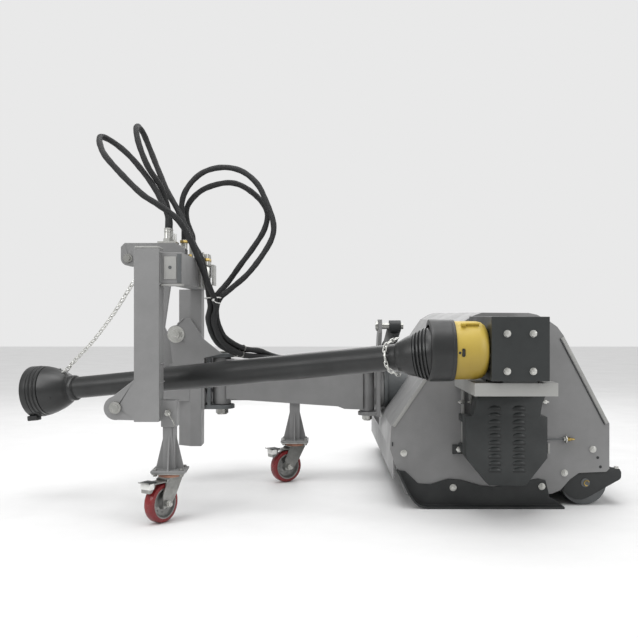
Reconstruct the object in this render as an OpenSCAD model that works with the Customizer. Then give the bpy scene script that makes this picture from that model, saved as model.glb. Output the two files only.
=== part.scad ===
// Offset verge flail mower for a small tractor's three-point linkage.
// X runs from the tractor to the rear, Y across to the machine's right, Z up from the floor.

/* [Headstock] */
// Side of the square hitch post
post_w = 80; // [70:1:90]
// Wall of the hitch post and the crossbeams
post_wall = 6; // [4:0.5:8]
// Height of the post's open lower end
post_low = 323; // [310:1:335]
// Height of the post's cap
post_high = 875; // [870:1:900]
// Distance between the centres of the two hitch sides
hitch_span = 644; // [630:1:660]
// Width of the top crossbeam
beam_w = 70; // [60:1:76]
// Height of the top crossbeam
beam_h = 100; // [90:1:110]
// Thickness of the hitch ears
ear_t = 12; // [8:1:14]
// Clear gap between the two ears of a lower hitch point
ear_gap = 56; // [50:1:60]
// Diameter of the lower hitch pins
lower_pin_d = 22; // [20:0.5:25]
// Height of the lower hitch pins
lower_pin_z = 369; // [364:1:376]
// Diameter of the top link pin
top_pin_d = 19; // [18:0.5:22]
// Height of the top link pin
top_pin_z = 864; // [856:1:870]
// Thickness of the top link plates
top_plate_t = 12; // [8:1:14]
// Clear gap between the top link plates
top_gap = 52; // [46:1:56]

/* [Arm] */
// Distance between the arm's two upright pivots
arm_len = 580; // [560:1:600]
// Width of the arm's box section
arm_w = 80; // [70:1:84]
// Wall of the arm's box section
arm_wall = 8; // [5:1:10]
// Diameter of the inner pivot pin
inner_pin_d = 40; // [36:1:42]
// Diameter of the outer pivot pin
outer_pin_d = 30; // [26:1:32]
// Sideways distance of the parallel link from the arm
link_off = 110; // [105:1:116]
// Thickness of the fork's two flanges
fork_t = 16; // [12:1:18]
// Diameter of the tilt shaft
tilt_d = 90; // [80:1:96]
// Outer diameter of the tilt tube
tilt_tube_d = 132; // [124:1:140]

/* [Deck] */
// Length of the deck across the direction of travel
deck_len = 1250; // [1200:5:1300]
// Sheet of the hood and the end plates
deck_wall = 6; // [4:0.5:8]
// Diameter of the rotor tube
rotor_d = 114; // [100:1:120]
// Length of a flail from its bolt to its tip
flail_len = 88; // [70:1:92]
// Flails in each of the four rows
flail_count = 8; // [4:1:8]
// Diameter of the rear roller
roller_d = 160; // [150:1:160]
// Thickness of the skid plates
skid_t = 8; // [6:1:10]
// Width of the skid's sole
sole_w = 45; // [35:1:55]

/* [Drive] */
// Radius of the upper belt pulley
upper_r = 68; // [60:1:70]
// Radius of the lower belt pulley
lower_r = 40; // [36:1:44]
// Width of the belt pulleys
pulley_w = 60; // [50:1:66]
// Depth of the louvred belt guard
guard_depth = 186; // [180:1:196]
// Sheet of the guards
guard_wall = 3; // [2:0.5:4]
// Rows of louvres in the belt guard
louvre_rows = 10; // [6:1:10]
// Outer diameter of the rear shaft guard tube
rear_tube_d = 84; // [82:1:86]
// Outer diameter of the front shaft guard tube
front_tube_d = 76; // [72:1:76]
// Diameter of the black cones' rims
cone_d = 194; // [190:1:198]
// Diameter of the tractor's splined stub shaft
spline_d = 34.9; // [34.5:0.1:35.5]

/* [Castors] */
// Wheel diameter
wheel_d = 125; // [120:1:126]
// Wheel width
wheel_w = 36; // [32:1:38]
// Height of the castor's top plate underside
castor_h = 152; // [150:1:158]
// Distance the wheel trails behind its swivel
trail = 42; // [36:1:44]
// Side of the square castor legs
leg_w = 40; // [36:1:42]

/* [Hoses] */
// Outer diameter of a sleeved hydraulic hose
hose_d = 21; // [18:1:22]

/* [Hidden] */
$fn = 48;

// Place of the frame's zero in the drawing
mid_x = -28;
mid_y = 445;
// Gap of a running fit and of parts that only pass each other
run = 0.05;
clear = 2;
seat = 0.3;

// Hitch places
post_x = -588;
post_back = post_x + post_w;
hitch_y = 114;
near_y = hitch_y - hitch_span / 2;
far_y = hitch_y + hitch_span / 2;
beam_z = 763;
beam_top = beam_z + beam_h;
beam_back = post_back + beam_w;
lower_pin_x = -646;
top_pin_x = -679;
plate_top = 919;

// Column, fork and arm places
col_x0 = -525;
col_x1 = -462;
face_t = 11;
face_x = col_x1 + face_t;
col_low = 146;
pivot_x = -388;
arm_y = 459;
fork_low = 290;
fork_high = 494;
outer_x = pivot_x + arm_len;
// The deck, its drive and the shaft move along with the end of the arm
deck_shift = outer_x - 192;
lug_low = 263;
lug_t = 14;
lug_high = 444;
link_y = arm_y + link_off;
link_z0 = fork_low + fork_t + 0.5;
link_h = 40;
tab_t = 12;
strip_end = -128;

// Hydraulic cylinders: base pins, lengths between their pins, and rod radius
shift_x = -430;
shift_y = 640;
shift_z = 410;
shift_end = 380.7;
tilt_x = 290;
mast_y = 309;
mast_z = 620;
tilt_end = 474.3;
ram_r = 14;

// Tilt axis and carrier
tilt_z = 370;
flange_x = outer_x + 34;
flange_t = 14;
pad_t = 14;
tube_x0 = flange_x + flange_t + pad_t + clear;
tube_len = 142;

// Deck outline in X and Z, from the front lower corner over the top to the rear
front_low = [246, 198];
hood_path = [front_low, [251, 276], [500, 640], [536, 661], [564, 671], [727, 670], [755, 664],
  [794, 645], [826, 622], [848, 592], [1007, 286], [1007, 180]];
plate_tail = [[1007, 130], [996, 119], [901, 115], [869, 92], [837, 55], [805, 42], [300, 42], [262, 150]];
rotor_x = 608;
rotor_z = 205;
bolt_r = 76;
roller_x = 925;
roller_z = roller_d / 2;

// Drive places
input_y = -320;
input_z = 556;
shelf_z = 447;
shelf_t = 10;
shelf_x0 = 470;
shelf_x1 = 723;
shelf_lip = 30;
box_x0 = 517;
box_x1 = 692;
box_z0 = 464;
box_z1 = 658;
box_y0 = -400;
box_y1 = -20;
belt_y = -156;
belt_x = rotor_x;
guard_path = [[503, 396], [722, 396], [722, 350], [742, 330], [742, 196], [672, 109], [552, 109],
  [479, 196], [479, 330], [490, 344]];

// Shaft from its joint at the gearbox to its front end
joint_x = 480;
joint = [joint_x, input_y, input_z];
shaft_yaw = -16.5;
shaft_pitch = -6.2;
shaft_len = 1635;
yoke_reach = 34;
joint_front = 1520;
cross_r = 5;
cross_reach = 19.3;
rim = cone_d / 2;

// Castor places
near_leg_x = -483;
near_leg_y = -190;
near_yaw = 58;
far_leg_x = -97;
far_yaw = 33.6;
sleeve_z0 = 303;
sleeve_z1 = 388;
sleeve_gap = 1;
sleeve_wall = 5;
axle_r = 6;

function normal2(a, b) = let (d = b - a, l = norm(d)) [d[1], -d[0]] / l;
function shift_point(p, i, w) = let (
  n = len(p),
  n1 = normal2(p[max(i - 1, 0)], p[max(i, 1)]),
  n2 = normal2(p[min(i, n - 2)], p[min(i + 1, n - 1)]))
  p[i] + w * (n1 + n2) / (1 + n1 * n2);
function shift_path(p, w) = [for (i = [0 : len(p) - 1]) shift_point(p, i, w)];
function reversed(p) = [for (i = [len(p) - 1 : -1 : 0]) p[i]];
function ring_shift(p, w) = let (n = len(p)) [for (i = [0 : n - 1]) let (
  n1 = normal2(p[(i + n - 1) % n], p[i]),
  n2 = normal2(p[i], p[(i + 1) % n]))
  p[i] + w * (n1 + n2) / (1 + n1 * n2)];

module place() translate([-mid_x, -mid_y, 0]) children();
module deck_place() place() translate([deck_shift, 0, 0]) children();
module plate_xz(points, y, t) translate([0, y + t, 0]) rotate([90, 0, 0]) linear_extrude(t) polygon(points);
module plate_yz(points, x, t) translate([x, 0, 0]) rotate([90, 0, 90]) linear_extrude(t) polygon(points);
module block(x0, x1, y0, y1, z0, z1) translate([x0, y0, z0]) cube([x1 - x0, y1 - y0, z1 - z0]);
module rod_x(x, y, z, r, l) translate([x, y, z]) rotate([0, 90, 0]) cylinder(r = r, h = l);
module rod_y(x, y, z, r, l) translate([x, y, z]) rotate([-90, 0, 0]) cylinder(r = r, h = l);
module rod_z(x, y, z, r, l) translate([x, y, z]) cylinder(r = r, h = l);
module hex_y(x, y, z, r, l) translate([x, y, z]) rotate([-90, 0, 0]) cylinder(r = r, h = l, $fn = 6);
module hex_z(x, y, z, r, l) translate([x, y, z]) cylinder(r = r, h = l, $fn = 6);

// Headstock
module box_tube(x0, x1, y0, y1, z0, z1, w) {
  difference() {
    block(x0, x1, y0, y1, z0, z1);
    block(x0 + w, x1 - w, y0 + w, y1 - w, z0 - 1, z1 - w);
  }
}
module ear(y) {
  difference() {
    union() {
      plate_xz([[lower_pin_x - 21, lower_pin_z + 26], [post_x + 12, 466], [post_x + 12, 328],
        [lower_pin_x, 330]], y, ear_t);
      rod_y(lower_pin_x, y, lower_pin_z - 2, 38, ear_t);
    }
    rod_y(lower_pin_x, y - 1, lower_pin_z, lower_pin_d / 2 + run, ear_t + 2);
  }
}
module ears(y) {
  ear(y - ear_gap / 2 - ear_t);
  ear(y + ear_gap / 2);
}
module far_leg() {
  plate_xz([[-680, 456], [-560, 456], [-560, 500], [-613, 614], [-587, 797], [post_back, 797],
    [post_back, beam_top], [-665, beam_top]], far_y - 10, 20);
  block(post_x, post_back, far_y - post_w / 2, far_y + post_w / 2, post_low, 470);
}
module column() {
  translate([0, 0, col_low]) linear_extrude(beam_z - col_low)
    polygon([[col_x0 - 30, 426], [col_x0 + 20, 396], [col_x1, 396], [col_x1, 476], [col_x0 - 30, 476]]);
}
module headstock_frame() color("gray") place() {
  difference() {
    union() {
      box_tube(post_x, post_back, near_y - post_w / 2, near_y + post_w / 2, post_low, post_high, post_wall);
      block(post_back, beam_back, near_y - 20, far_y + 40, beam_z, beam_top);
      far_leg();
      column();
      block(col_x1, face_x, 399, 519, fork_low, fork_high + fork_t);
      gusset_plate();
      ears(near_y);
      ears(far_y);
      sleeve();
      shift_base();
      link_tab();
    }
    block(post_back + post_wall, beam_back - post_wall, near_y - 14, far_y + 34, beam_z + post_wall,
      beam_top - post_wall);
    rod_y(-480, near_y - 30, 823, 5, 20);
    rod_y(-560, 380, 586, 10 + run, 20);
    rod_y(near_leg_x, near_leg_y - 40, 350, 6 + run, 80);
    block(near_leg_x - leg_w / 2 - sleeve_gap, near_leg_x + leg_w / 2 + sleeve_gap,
      near_leg_y - leg_w / 2 - sleeve_gap, near_leg_y + leg_w / 2 + sleeve_gap, 290, 600);
    rod_z(pivot_x, link_y, 280, 10, 100);
    rod_z(shift_x, shift_y, 360, 10, 100);
  }
}
module gusset_plate() {
  plate_xz([[-584, 562], [-560, 622], [-528, 650], [-505, 650], [-450, 566], [-380, 510], [-450, 494],
    [-450, 440], [-570, 440]], 384, 12);
  rod_y(-560, 384, 586, 36, 12);
}
module sleeve() {
  half = leg_w / 2 + sleeve_gap + sleeve_wall;
  block(post_back, near_leg_x + half, near_leg_y - half, near_leg_y + half, sleeve_z0, sleeve_z1);
}
module shift_base() {
  for (z = [shift_z - 38, shift_z + 28])
    translate([0, 0, z]) linear_extrude(10) union() {
      polygon([[col_x1 - 40, 476], [col_x1, 476], [face_x, 519], [shift_x + 20, shift_y], [shift_x - 20, shift_y]]);
      translate([shift_x, shift_y]) circle(r = 20);
    }
  block(face_x - face_t, face_x, 500, 519, shift_z - 38, shift_z + 38);
}
module link_tab() {
  for (z = [fork_low, link_z0 + link_h + 0.5])
    translate([0, 0, z]) linear_extrude(tab_t) union() {
      polygon([[face_x - face_t, 519], [face_x, 512], [pivot_x, 545], [pivot_x, link_y + 22],
        [face_x - face_t, link_y - 10]]);
      translate([pivot_x, link_y]) circle(r = 22);
    }
}
module top_link_plates() color("darkgray") place() {
  for (y = [hitch_y - top_gap / 2 - top_plate_t, hitch_y + top_gap / 2])
    difference() {
      union() {
        plate_xz([[-705, 864], [-705, 905], [-691, plate_top], [-510, plate_top], [-478, 900], [-478, beam_top],
          [post_back, beam_top], [post_back, beam_z + 20], [-560, beam_z + 20], [-640, 838], [-679, 838]],
          y, top_plate_t);
        rod_y(top_pin_x, y, top_pin_z, 26, top_plate_t);
      }
      rod_y(top_pin_x, y - 1, top_pin_z, top_pin_d / 2 + run, top_plate_t + 2);
    }
}
module top_link_pin() color("gainsboro") place() {
  reach = top_gap / 2 + top_plate_t;
  rod_y(top_pin_x, hitch_y - reach - 14, top_pin_z, top_pin_d / 2, 2 * reach + 28);
  rod_y(top_pin_x, hitch_y - reach - 6, top_pin_z, top_pin_d / 2 + 6, 5.5);
}
module hitch_pins() color("gainsboro") place() {
  reach = ear_gap / 2 + ear_t;
  for (side = [-1, 1]) {
    y = side < 0 ? near_y : far_y;
    rod_y(lower_pin_x, y - reach - 12, lower_pin_z, lower_pin_d / 2, 2 * reach + 24);
    rod_y(lower_pin_x, side < 0 ? y - reach - 10 : y + reach + 0.2, lower_pin_z, lower_pin_d / 2 + 8, 9.5);
  }
}
module lynch_pins() color("goldenrod") place() {
  reach = ear_gap / 2 + ear_t;
  lynch(lower_pin_x, near_y + reach + 7, lower_pin_z, lower_pin_d / 2);
  lynch(lower_pin_x, far_y - reach - 7, lower_pin_z, lower_pin_d / 2);
  lynch(top_pin_x, hitch_y + top_gap / 2 + top_plate_t + 9, top_pin_z, top_pin_d / 2);
}
module lynch(x, y, z, r) {
  rod_z(x, y, z + r + seat, 4, 16);
  translate([x, y, z]) rotate([90, 0, 0]) rotate_extrude() translate([r + 3 + seat, 0]) circle(r = 2);
}
module pivot_fork() color("dimgray") place() {
  difference() {
    union() {
      for (z = [fork_low, fork_high]) {
        block(face_x, pivot_x, arm_y - 50, arm_y + 50, z, z + fork_t);
        rod_z(pivot_x, arm_y, z, 50, fork_t);
      }
      block(face_x + 10, face_x + 23, arm_y - 50, arm_y + 50, fork_low + 1, fork_high + 1);
    }
    rod_z(pivot_x, arm_y, fork_low - 1, inner_pin_d / 2 + run, fork_high - fork_low + fork_t + 2);
  }
}
module pivot_pins() color("silver") place() {
  rod_z(pivot_x, arm_y, fork_low - 24, inner_pin_d / 2, fork_high + fork_t - fork_low + 32);
  rod_z(pivot_x, arm_y, fork_high + fork_t, inner_pin_d / 2 + 10, 8);
  hex_z(pivot_x, arm_y, fork_low - 20, inner_pin_d / 2 + 5, 20);
  rod_z(pivot_x, link_y, fork_low - 10, 9.95, link_z0 + link_h + tab_t + 12 - fork_low);
  rod_z(pivot_x, link_y, link_z0 + link_h + 0.5 + tab_t, 16, 6);
  rod_z(shift_x, shift_y, 366, 10 - run, 92);
  rod_z(shift_x, shift_y, shift_z + 38, 16, 6);
}
module breakaway_bolt() color("silver") place() {
  rod_y(-560, 360, 586, 10, 44);
  rod_y(-560, 380, 586, 33, 4);
  rod_y(-560, 376, 586, 22, 4);
  hex_y(-560, 362, 586, 17, 14);
}
module hose_bracket() color("silver") place() {
  block(beam_back, -384, 150, 230, 840, 846);
  block(-390, -384, 150, 230, 770, 841);
  block(-575, -510, hitch_y - top_gap / 2 - top_plate_t, hitch_y + top_gap / 2 + top_plate_t, plate_top, plate_top + 6);
  for (route = hose_routes) {
    tip = route[0];
    base = tip[2] > 940 ? plate_top + 5 : beam_top;
    rod_z(tip[0], tip[1], base, 12, tip[2] - base - seat);
    hex_z(tip[0], tip[1], base, 16, 12);
  }
  for (y = [165, 190, 215])
    rod_z(-412, y, 845, 11, 40);
  strip = fork_high + fork_t;
  block(face_x, -300, arm_y + 44, arm_y + 60, strip, strip + 6);
  block(-306, -300, arm_y + 44, arm_y + 60, strip - 24, strip + 6);
  block(-306, strip_end, arm_y + 44, arm_y + 60, strip - 24, strip - 18);
  block(strip_end - 8, strip_end, arm_y - 50, arm_y + 60, strip - 34, strip - 6);
}

// Castors
module at_castor(x, y, yaw) translate([x, y, 0]) rotate([0, 0, yaw]) children();
module leg_foot(z) {
  for (a = [0 : 90 : 270])
    rotate([0, 0, a])
      translate([0, 3, 0]) rotate([90, 0, 0]) linear_extrude(6)
        polygon([[leg_w / 2, z], [46, z], [leg_w / 2, z + 110]]);
  translate([-55, -48, z - 8]) cube([110, 96, 8]);
}
module castor_plate() {
  translate([-52, -44, castor_h]) cube([104, 88, 5]);
  for (x = [-42, 42])
    for (y = [-34, 34]) {
      translate([x, y, castor_h + 13]) cylinder(r = 7, h = 6, $fn = 6);
      translate([x, y, castor_h - 6]) cylinder(r = 7.5, h = 6, $fn = 6);
    }
}
module castor_fork() {
  half = wheel_w / 2 + 7.5;
  translate([0, 0, castor_h - 10]) cylinder(r = 35, h = 10 - seat);
  translate([-30, -half, castor_h - 14]) cube([63, 2 * half, 4]);
  for (side = [-1, 1])
    difference() {
      translate([0, side * (half - 2) + 2, 0]) rotate([90, 0, 0]) linear_extrude(4)
        polygon([[33, castor_h - 14], [-36, castor_h - 14], [-trail - 17, wheel_d / 2 + 30],
          [-trail - 17, wheel_d / 2 - 14], [-trail + 13, wheel_d / 2 - 14], [0, wheel_d / 2 + 20]]);
      translate([-trail, 40, wheel_d / 2]) rotate([90, 0, 0]) cylinder(r = axle_r + run, h = 80);
      translate([-28, 40, castor_h - 21]) rotate([90, 0, 0]) cylinder(r = 3.5 + run, h = 80);
    }
  translate([-trail, half + 8, wheel_d / 2]) rotate([90, 0, 0]) cylinder(r = axle_r, h = 2 * half + 16);
  for (y = [half + 7, -half])
    translate([-trail, y, wheel_d / 2]) rotate([90, 0, 0]) cylinder(r = 10, h = 7, $fn = 6);
}
module castor_wheel() {
  translate([-trail, 0, wheel_d / 2]) rotate([90, 0, 0]) {
    rotate_extrude() polygon([[wheel_d / 2 - 14, -wheel_w / 2], [wheel_d / 2 - 3, -wheel_w / 2],
      [wheel_d / 2, -wheel_w / 2 + 5], [wheel_d / 2, wheel_w / 2 - 5], [wheel_d / 2 - 3, wheel_w / 2],
      [wheel_d / 2 - 14, wheel_w / 2]]);
    rotate_extrude() polygon([[axle_r + run, -wheel_w / 2 - 2], [18, -wheel_w / 2 - 2], [20, -6],
      [wheel_d / 2 - 22, -6], [wheel_d / 2 - 18, -wheel_w / 2], [wheel_d / 2 - 14, -wheel_w / 2],
      [wheel_d / 2 - 14, wheel_w / 2], [wheel_d / 2 - 18, wheel_w / 2], [wheel_d / 2 - 22, 6], [20, 6],
      [18, wheel_w / 2 + 2], [axle_r + run, wheel_w / 2 + 2]]);
  }
}
module castor_pedal() {
  deep = wheel_w / 2 + 7.5;
  translate([0, 20, 0]) rotate([90, 0, 0]) linear_extrude(40)
    polygon([[-24, castor_h - 23], [-104, castor_h - 23], [-126, castor_h - 16], [-126, castor_h - 12],
      [-102, castor_h - 19], [-24, castor_h - 19]]);
  translate([-28, deep + 2, castor_h - 21]) rotate([90, 0, 0]) cylinder(r = 3.5, h = 2 * deep + 4);
  translate([0, 17, 0]) rotate([90, 0, 0]) linear_extrude(34)
    polygon([[-114, castor_h - 48], [-104, castor_h - 48], [-88, castor_h - 30], [-88, castor_h - 22],
      [-114, castor_h - 20]]);
}
module near_leg() color("silver") place() {
  foot = castor_h + 13;
  translate([near_leg_x - leg_w / 2, near_leg_y - leg_w / 2, foot]) difference() {
    cube([leg_w, leg_w, 222]);
    translate([4, 4, 8]) cube([leg_w - 8, leg_w - 8, 320]);
    translate([leg_w / 2, -1, 350 - foot]) rotate([-90, 0, 0]) cylinder(r = 6 + run, h = leg_w + 2);
  }
  translate([near_leg_x, near_leg_y, 0]) leg_foot(foot);
}
module near_lock_pin() color("silver") place() {
  reach = leg_w / 2 + sleeve_gap + sleeve_wall;
  rod_y(near_leg_x, near_leg_y - reach - 8, 350, 6, 2 * reach + 16);
  rod_y(near_leg_x, near_leg_y - reach - 6, 350, 9, 5.5);
}
module near_castor_plate() color("silver") place() at_castor(near_leg_x, near_leg_y, 0) castor_plate();
module near_fork() color("silver") place() at_castor(near_leg_x, near_leg_y, near_yaw) castor_fork();
module near_wheel() color("brown") place() at_castor(near_leg_x, near_leg_y, near_yaw) castor_wheel();
module near_pedal() color("black") place() at_castor(near_leg_x, near_leg_y, near_yaw) castor_pedal();
module far_castor_plate() color("silver") place() at_castor(far_leg_x, arm_y, 0) castor_plate();
module far_fork() color("silver") place() at_castor(far_leg_x, arm_y, far_yaw) castor_fork();
module far_wheel() color("brown") place() at_castor(far_leg_x, arm_y, far_yaw) castor_wheel();
module far_pedal() color("black") place() at_castor(far_leg_x, arm_y, far_yaw) castor_pedal();

// Side-shift arm
function arm_side(w) = [[pivot_x + 20, 330 + w], [75, 300 + w], [100, 290 + w], [outer_x - 18, 287 + w],
  [outer_x - 18, 436 - w], [pivot_x + 20, 488 - w]];
module arm_beam() color("gray") place() {
  difference() {
    union() {
      plate_xz(arm_side(0), arm_y - arm_w / 2, arm_w);
      rod_z(pivot_x, arm_y, fork_low + fork_t + clear, 36, fork_high - fork_low - fork_t - 2 * clear);
      rod_z(outer_x, arm_y, lug_low + lug_t + clear, 30, lug_high - lug_low - lug_t - 2 * clear);
      foot = castor_h + 13;
      translate([far_leg_x - leg_w / 2, arm_y - leg_w / 2, foot]) cube([leg_w, leg_w, 320 - foot]);
      translate([far_leg_x, arm_y, 0]) leg_foot(foot);
      block(-76, -36, arm_y + arm_w / 2 - 2, 584, shift_z - 5, shift_z + 5);
    }
    plate_xz([[pivot_x + 46, 338], [72, 308], [102, 298], [outer_x - 40, 296], [outer_x - 40, 428],
      [pivot_x + 46, 478]], arm_y - arm_w / 2 + arm_wall, arm_w - 2 * arm_wall);
    rod_z(pivot_x, arm_y, 280, inner_pin_d / 2 + 4, 240);
    rod_z(outer_x, arm_y, 260, outer_pin_d / 2 + 4, 240);
  }
}
module bush(x, z, r, l) translate([x, arm_y, z]) difference() {
  cylinder(r = r + 3.98, h = l);
  translate([0, 0, -1]) cylinder(r = r + run, h = l + 2);
}
module arm_bushes() color("goldenrod") place() {
  bush(pivot_x, fork_low + fork_t + clear, inner_pin_d / 2, 40);
  bush(pivot_x, fork_high - clear - 40, inner_pin_d / 2, 40);
  bush(outer_x, lug_low + lug_t + clear, outer_pin_d / 2, 36);
  bush(outer_x, lug_high - clear - 36, outer_pin_d / 2, 36);
}
module parallel_link() color("gray") place() {
  difference() {
    union() {
      block(pivot_x, outer_x, link_y - 12, link_y + 12, link_z0 + 4, link_z0 + link_h - 4);
      rod_z(pivot_x, link_y, link_z0, 20, link_h);
      rod_z(outer_x, link_y, link_z0, 20, link_h);
    }
    rod_z(pivot_x, link_y, link_z0 - 1, 10, link_h + 2);
    rod_z(outer_x, link_y, link_z0 - 1, 11, link_h + 2);
  }
}

// Head carrier and tilt joint
module carrier() color("gray") place() {
  back = flange_x + flange_t;
  difference() {
    union() {
      for (z = [lug_low, lug_high]) {
        block(outer_x, back, arm_y - 45, arm_y + 45, z, z + lug_t);
        rod_z(outer_x, arm_y, z, 36, lug_t);
      }
      block(flange_x, back, arm_y - 82, arm_y + 82, lug_low, 458);
      rod_x(back, arm_y, tilt_z, 78, pad_t);
      plate_xz([[outer_x + 22, lug_low], [back, lug_low], [back, lug_low - 42]], arm_y - 6, 12);
      for (z = [fork_low + 4, link_z0 + link_h + 0.5]) {
        block(outer_x, back, link_y - 20, link_y + 20, z, z + tab_t);
        rod_z(outer_x, link_y, z, 20, tab_t);
      }
      block(flange_x, back, arm_y + 60, link_y + 20, lug_low + 10, link_z0 + link_h + tab_t);
      plate_yz([[arm_y - 60, 440], [arm_y + 60, 440], [334, 645], [284, 645], [284, 595]], flange_x, flange_t);
    }
    rod_z(outer_x, arm_y, lug_low - 1, outer_pin_d / 2 + run, 220);
    rod_z(outer_x, link_y, fork_low, 10.2, 100);
    rod_x(flange_x - 1, mast_y, mast_z, 12, 60);
  }
}
module outer_pivot_pin() color("silver") place() {
  rod_z(outer_x, arm_y, lug_low - 22, outer_pin_d / 2, lug_high + lug_t - lug_low + 30);
  rod_z(outer_x, arm_y, lug_high + lug_t, outer_pin_d / 2 + 8, 8);
  hex_z(outer_x, arm_y, lug_low - 18, outer_pin_d / 2 + 5, 18);
  rod_z(outer_x, link_y, fork_low - 6, 9.95, link_z0 + link_h + tab_t + 14 - fork_low);
  rod_x(flange_x - 10, mast_y, mast_z, 12 - run, 106);
  rod_x(flange_x - 8, mast_y, mast_z, 18, 7.5);
}
module tilt_shaft() color("dimgray") place() {
  start = flange_x + flange_t + pad_t;
  rod_x(start, arm_y, tilt_z, tilt_d / 2, tube_len + clear + 2);
  rod_x(start + tube_len + clear + 2, arm_y, tilt_z, tilt_d / 2 + 12, 8);
  rod_x(start + tube_len + clear + 10, arm_y, tilt_z, 16, 12);
}
module tilt_tube() color("dimgray") place() {
  difference() {
    union() {
      rod_x(tube_x0, arm_y, tilt_z, tilt_tube_d / 2, tube_len);
      rod_x(tube_x0, arm_y, tilt_z, tilt_tube_d / 2 + 8, 16);
    }
    rod_x(tube_x0 - 1, arm_y, tilt_z, tilt_d / 2 + run, tube_len + 2);
  }
}

// Hydraulic cylinders, drawn along +X from their base eye
module barrel_shape(l, eye_h, pin_r) {
  difference() {
    union() {
      translate([0, 0, -eye_h / 2]) cylinder(r = 22, h = eye_h);
      translate([14, 0, 0]) rotate([0, 90, 0]) cylinder(r = 27, h = l - 14);
      translate([l - 18, 0, 0]) rotate([0, 90, 0]) cylinder(r = 31, h = 18);
    }
    translate([0, 0, -eye_h]) cylinder(r = pin_r, h = 2 * eye_h);
    translate([36, 0, 0]) rotate([0, 90, 0]) cylinder(r = 21, h = l - 46);
    translate([l - 12, 0, 0]) rotate([0, 90, 0]) cylinder(r = ram_r + run, h = 14);
  }
}
module rod_shape(start, end, gap, throat) {
  translate([start, 0, 0]) rotate([0, 90, 0]) cylinder(r = ram_r, h = end - start - throat - 2);
  translate([start, 0, 0]) rotate([0, 90, 0]) cylinder(r = 21 - run, h = 20);
  translate([end - throat - 12, -20, -gap / 2 - 8]) cube([12, 40, gap + 16]);
  for (side = [-1, 1])
    translate([0, 0, side > 0 ? gap / 2 : -gap / 2 - 8]) {
      translate([end - throat - 1, -20, 0]) cube([throat + 1, 40, 8]);
      translate([end, 0, 0]) cylinder(r = 20, h = 8);
      translate([end, 0, side > 0 ? 8 : -6]) cylinder(r = 13, h = 6);
    }
}
module at_shift() translate([shift_x, shift_y, shift_z]) rotate([0, 0, -12.3]) children();
module at_tilt() translate([tilt_x, mast_y, mast_z]) rotate([-18.4, 0, 0]) rotate([0, 0, 90]) rotate([90, 0, 0]) children();
module shift_barrel() color("black") place() at_shift() barrel_shape(222, 48, 10);
module shift_rod() color("silver") place() at_shift() rod_shape(146, shift_end, 14, 34);
module tilt_barrel() color("black") deck_place() at_tilt() barrel_shape(288, 44, 12);
module tilt_rod() color("silver") deck_place() at_tilt() rod_shape(155, tilt_end, 16, 50);

// Deck
module deck_hood() color("gray") deck_place() {
  difference() {
    plate_xz(concat(hood_path, reversed(shift_path(hood_path, deck_wall))), deck_wall, deck_len - 2 * deck_wall);
    rod_x(tube_x0 - deck_shift - 10, arm_y, tilt_z, tilt_tube_d / 2 + seat, tube_len + 60);
    rod_x(tube_x0 - deck_shift - 10, arm_y, tilt_z, tilt_tube_d / 2 + 9, 27);
  }
  difference() {
    for (y = [808, 824])
      plate_xz([[tilt_x - 6, 440], [400, 440], [420, 504], [tilt_x - 6, 504]], y, 12);
    plate_xz(concat([[300, 100]], shift_path(hood_path, deck_wall / 2), [[1007, 100]]), 800, 60);
  }
  plate_yz([[742, 452], [836, 436], [836, 504], [742, 488]], tilt_x - 6, 12);
}
module end_plate_shape(y) {
  difference() {
    plate_xz(concat(hood_path, plate_tail), y, deck_wall);
    rod_y(rotor_x, y - 1, rotor_z, 46, deck_wall + 2);
  }
}
module near_end_plate() color("gray") deck_place() end_plate_shape(0);
module far_end_plate() color("gray") deck_place() end_plate_shape(deck_len - deck_wall);
skid_top = [[839, 6], [821, 21], [797, 32], [783, 91], [759, 96], [603, 68], [558, 73], [492, 92],
  [447, 96], [385, 77], [343, 79], [298, 122], [267, 126]];
skid_sole = [[267, 126], [305, 49], [325, 20], [345, 6], [372, 0], [839, 0]];
module skid(y, out) {
  plate_xz(concat(skid_sole, skid_top), out < 0 ? y - skid_t : y, skid_t);
  plate_xz(concat(skid_sole, reversed(shift_path(skid_sole, -7))), out < 0 ? y - sole_w : y, sole_w);
}
module skids() color("black") deck_place() {
  skid(0, -1);
  skid(deck_len, 1);
}
module front_flap() color("black") deck_place() {
  block(258, 263, 14, deck_len - 14, 92, 190);
  rod_y(260.5, deck_wall + seat, 190, 5, deck_len - 2 * (deck_wall + seat));
}
module rear_roller() color("dimgray") deck_place() {
  difference() {
    rod_y(roller_x, 24, roller_z, roller_z, deck_len - 48);
    rod_y(roller_x, 36, roller_z, roller_z - 6, deck_len - 72);
    for (side = [-1, 1])
      rod_y(roller_x, 20, roller_z + side * 48, 8, deck_len - 40);
  }
  rod_y(roller_x, -14, roller_z, 15, deck_len + 28);
}
module roller_bracket(y) {
  difference() {
    translate([roller_x, 0, 0])
      plate_xz([[-57, 110], [-45, 50], [-20, 26], [20, 26], [50, 60], [75, 119], [125, 112], [125, 150],
        [82, 152], [75, 170], [-25, 170]], y, 8);
    rod_y(roller_x, y - 1, roller_z, 15 + run, 10);
  }
}
module roller_brackets() color("black") deck_place() {
  roller_bracket(-8);
  roller_bracket(deck_len);
  block(roller_x + 87, roller_x + 125, -8, deck_len + 8, 113, 150);
  difference() {
    rod_y(roller_x, -24, roller_z, 24, 16);
    rod_y(roller_x, -16, roller_z, 15 + run, 10);
  }
  difference() {
    rod_y(roller_x, deck_len + 8, roller_z, 24, 16);
    rod_y(roller_x, deck_len + 6, roller_z, 15 + run, 10);
  }
}
row_ends = 110;
row_step = (deck_len - 2 * row_ends - 90) / 7;
function flail_y(row, k) = row_ends + 30 * row + k * row_step;
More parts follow.
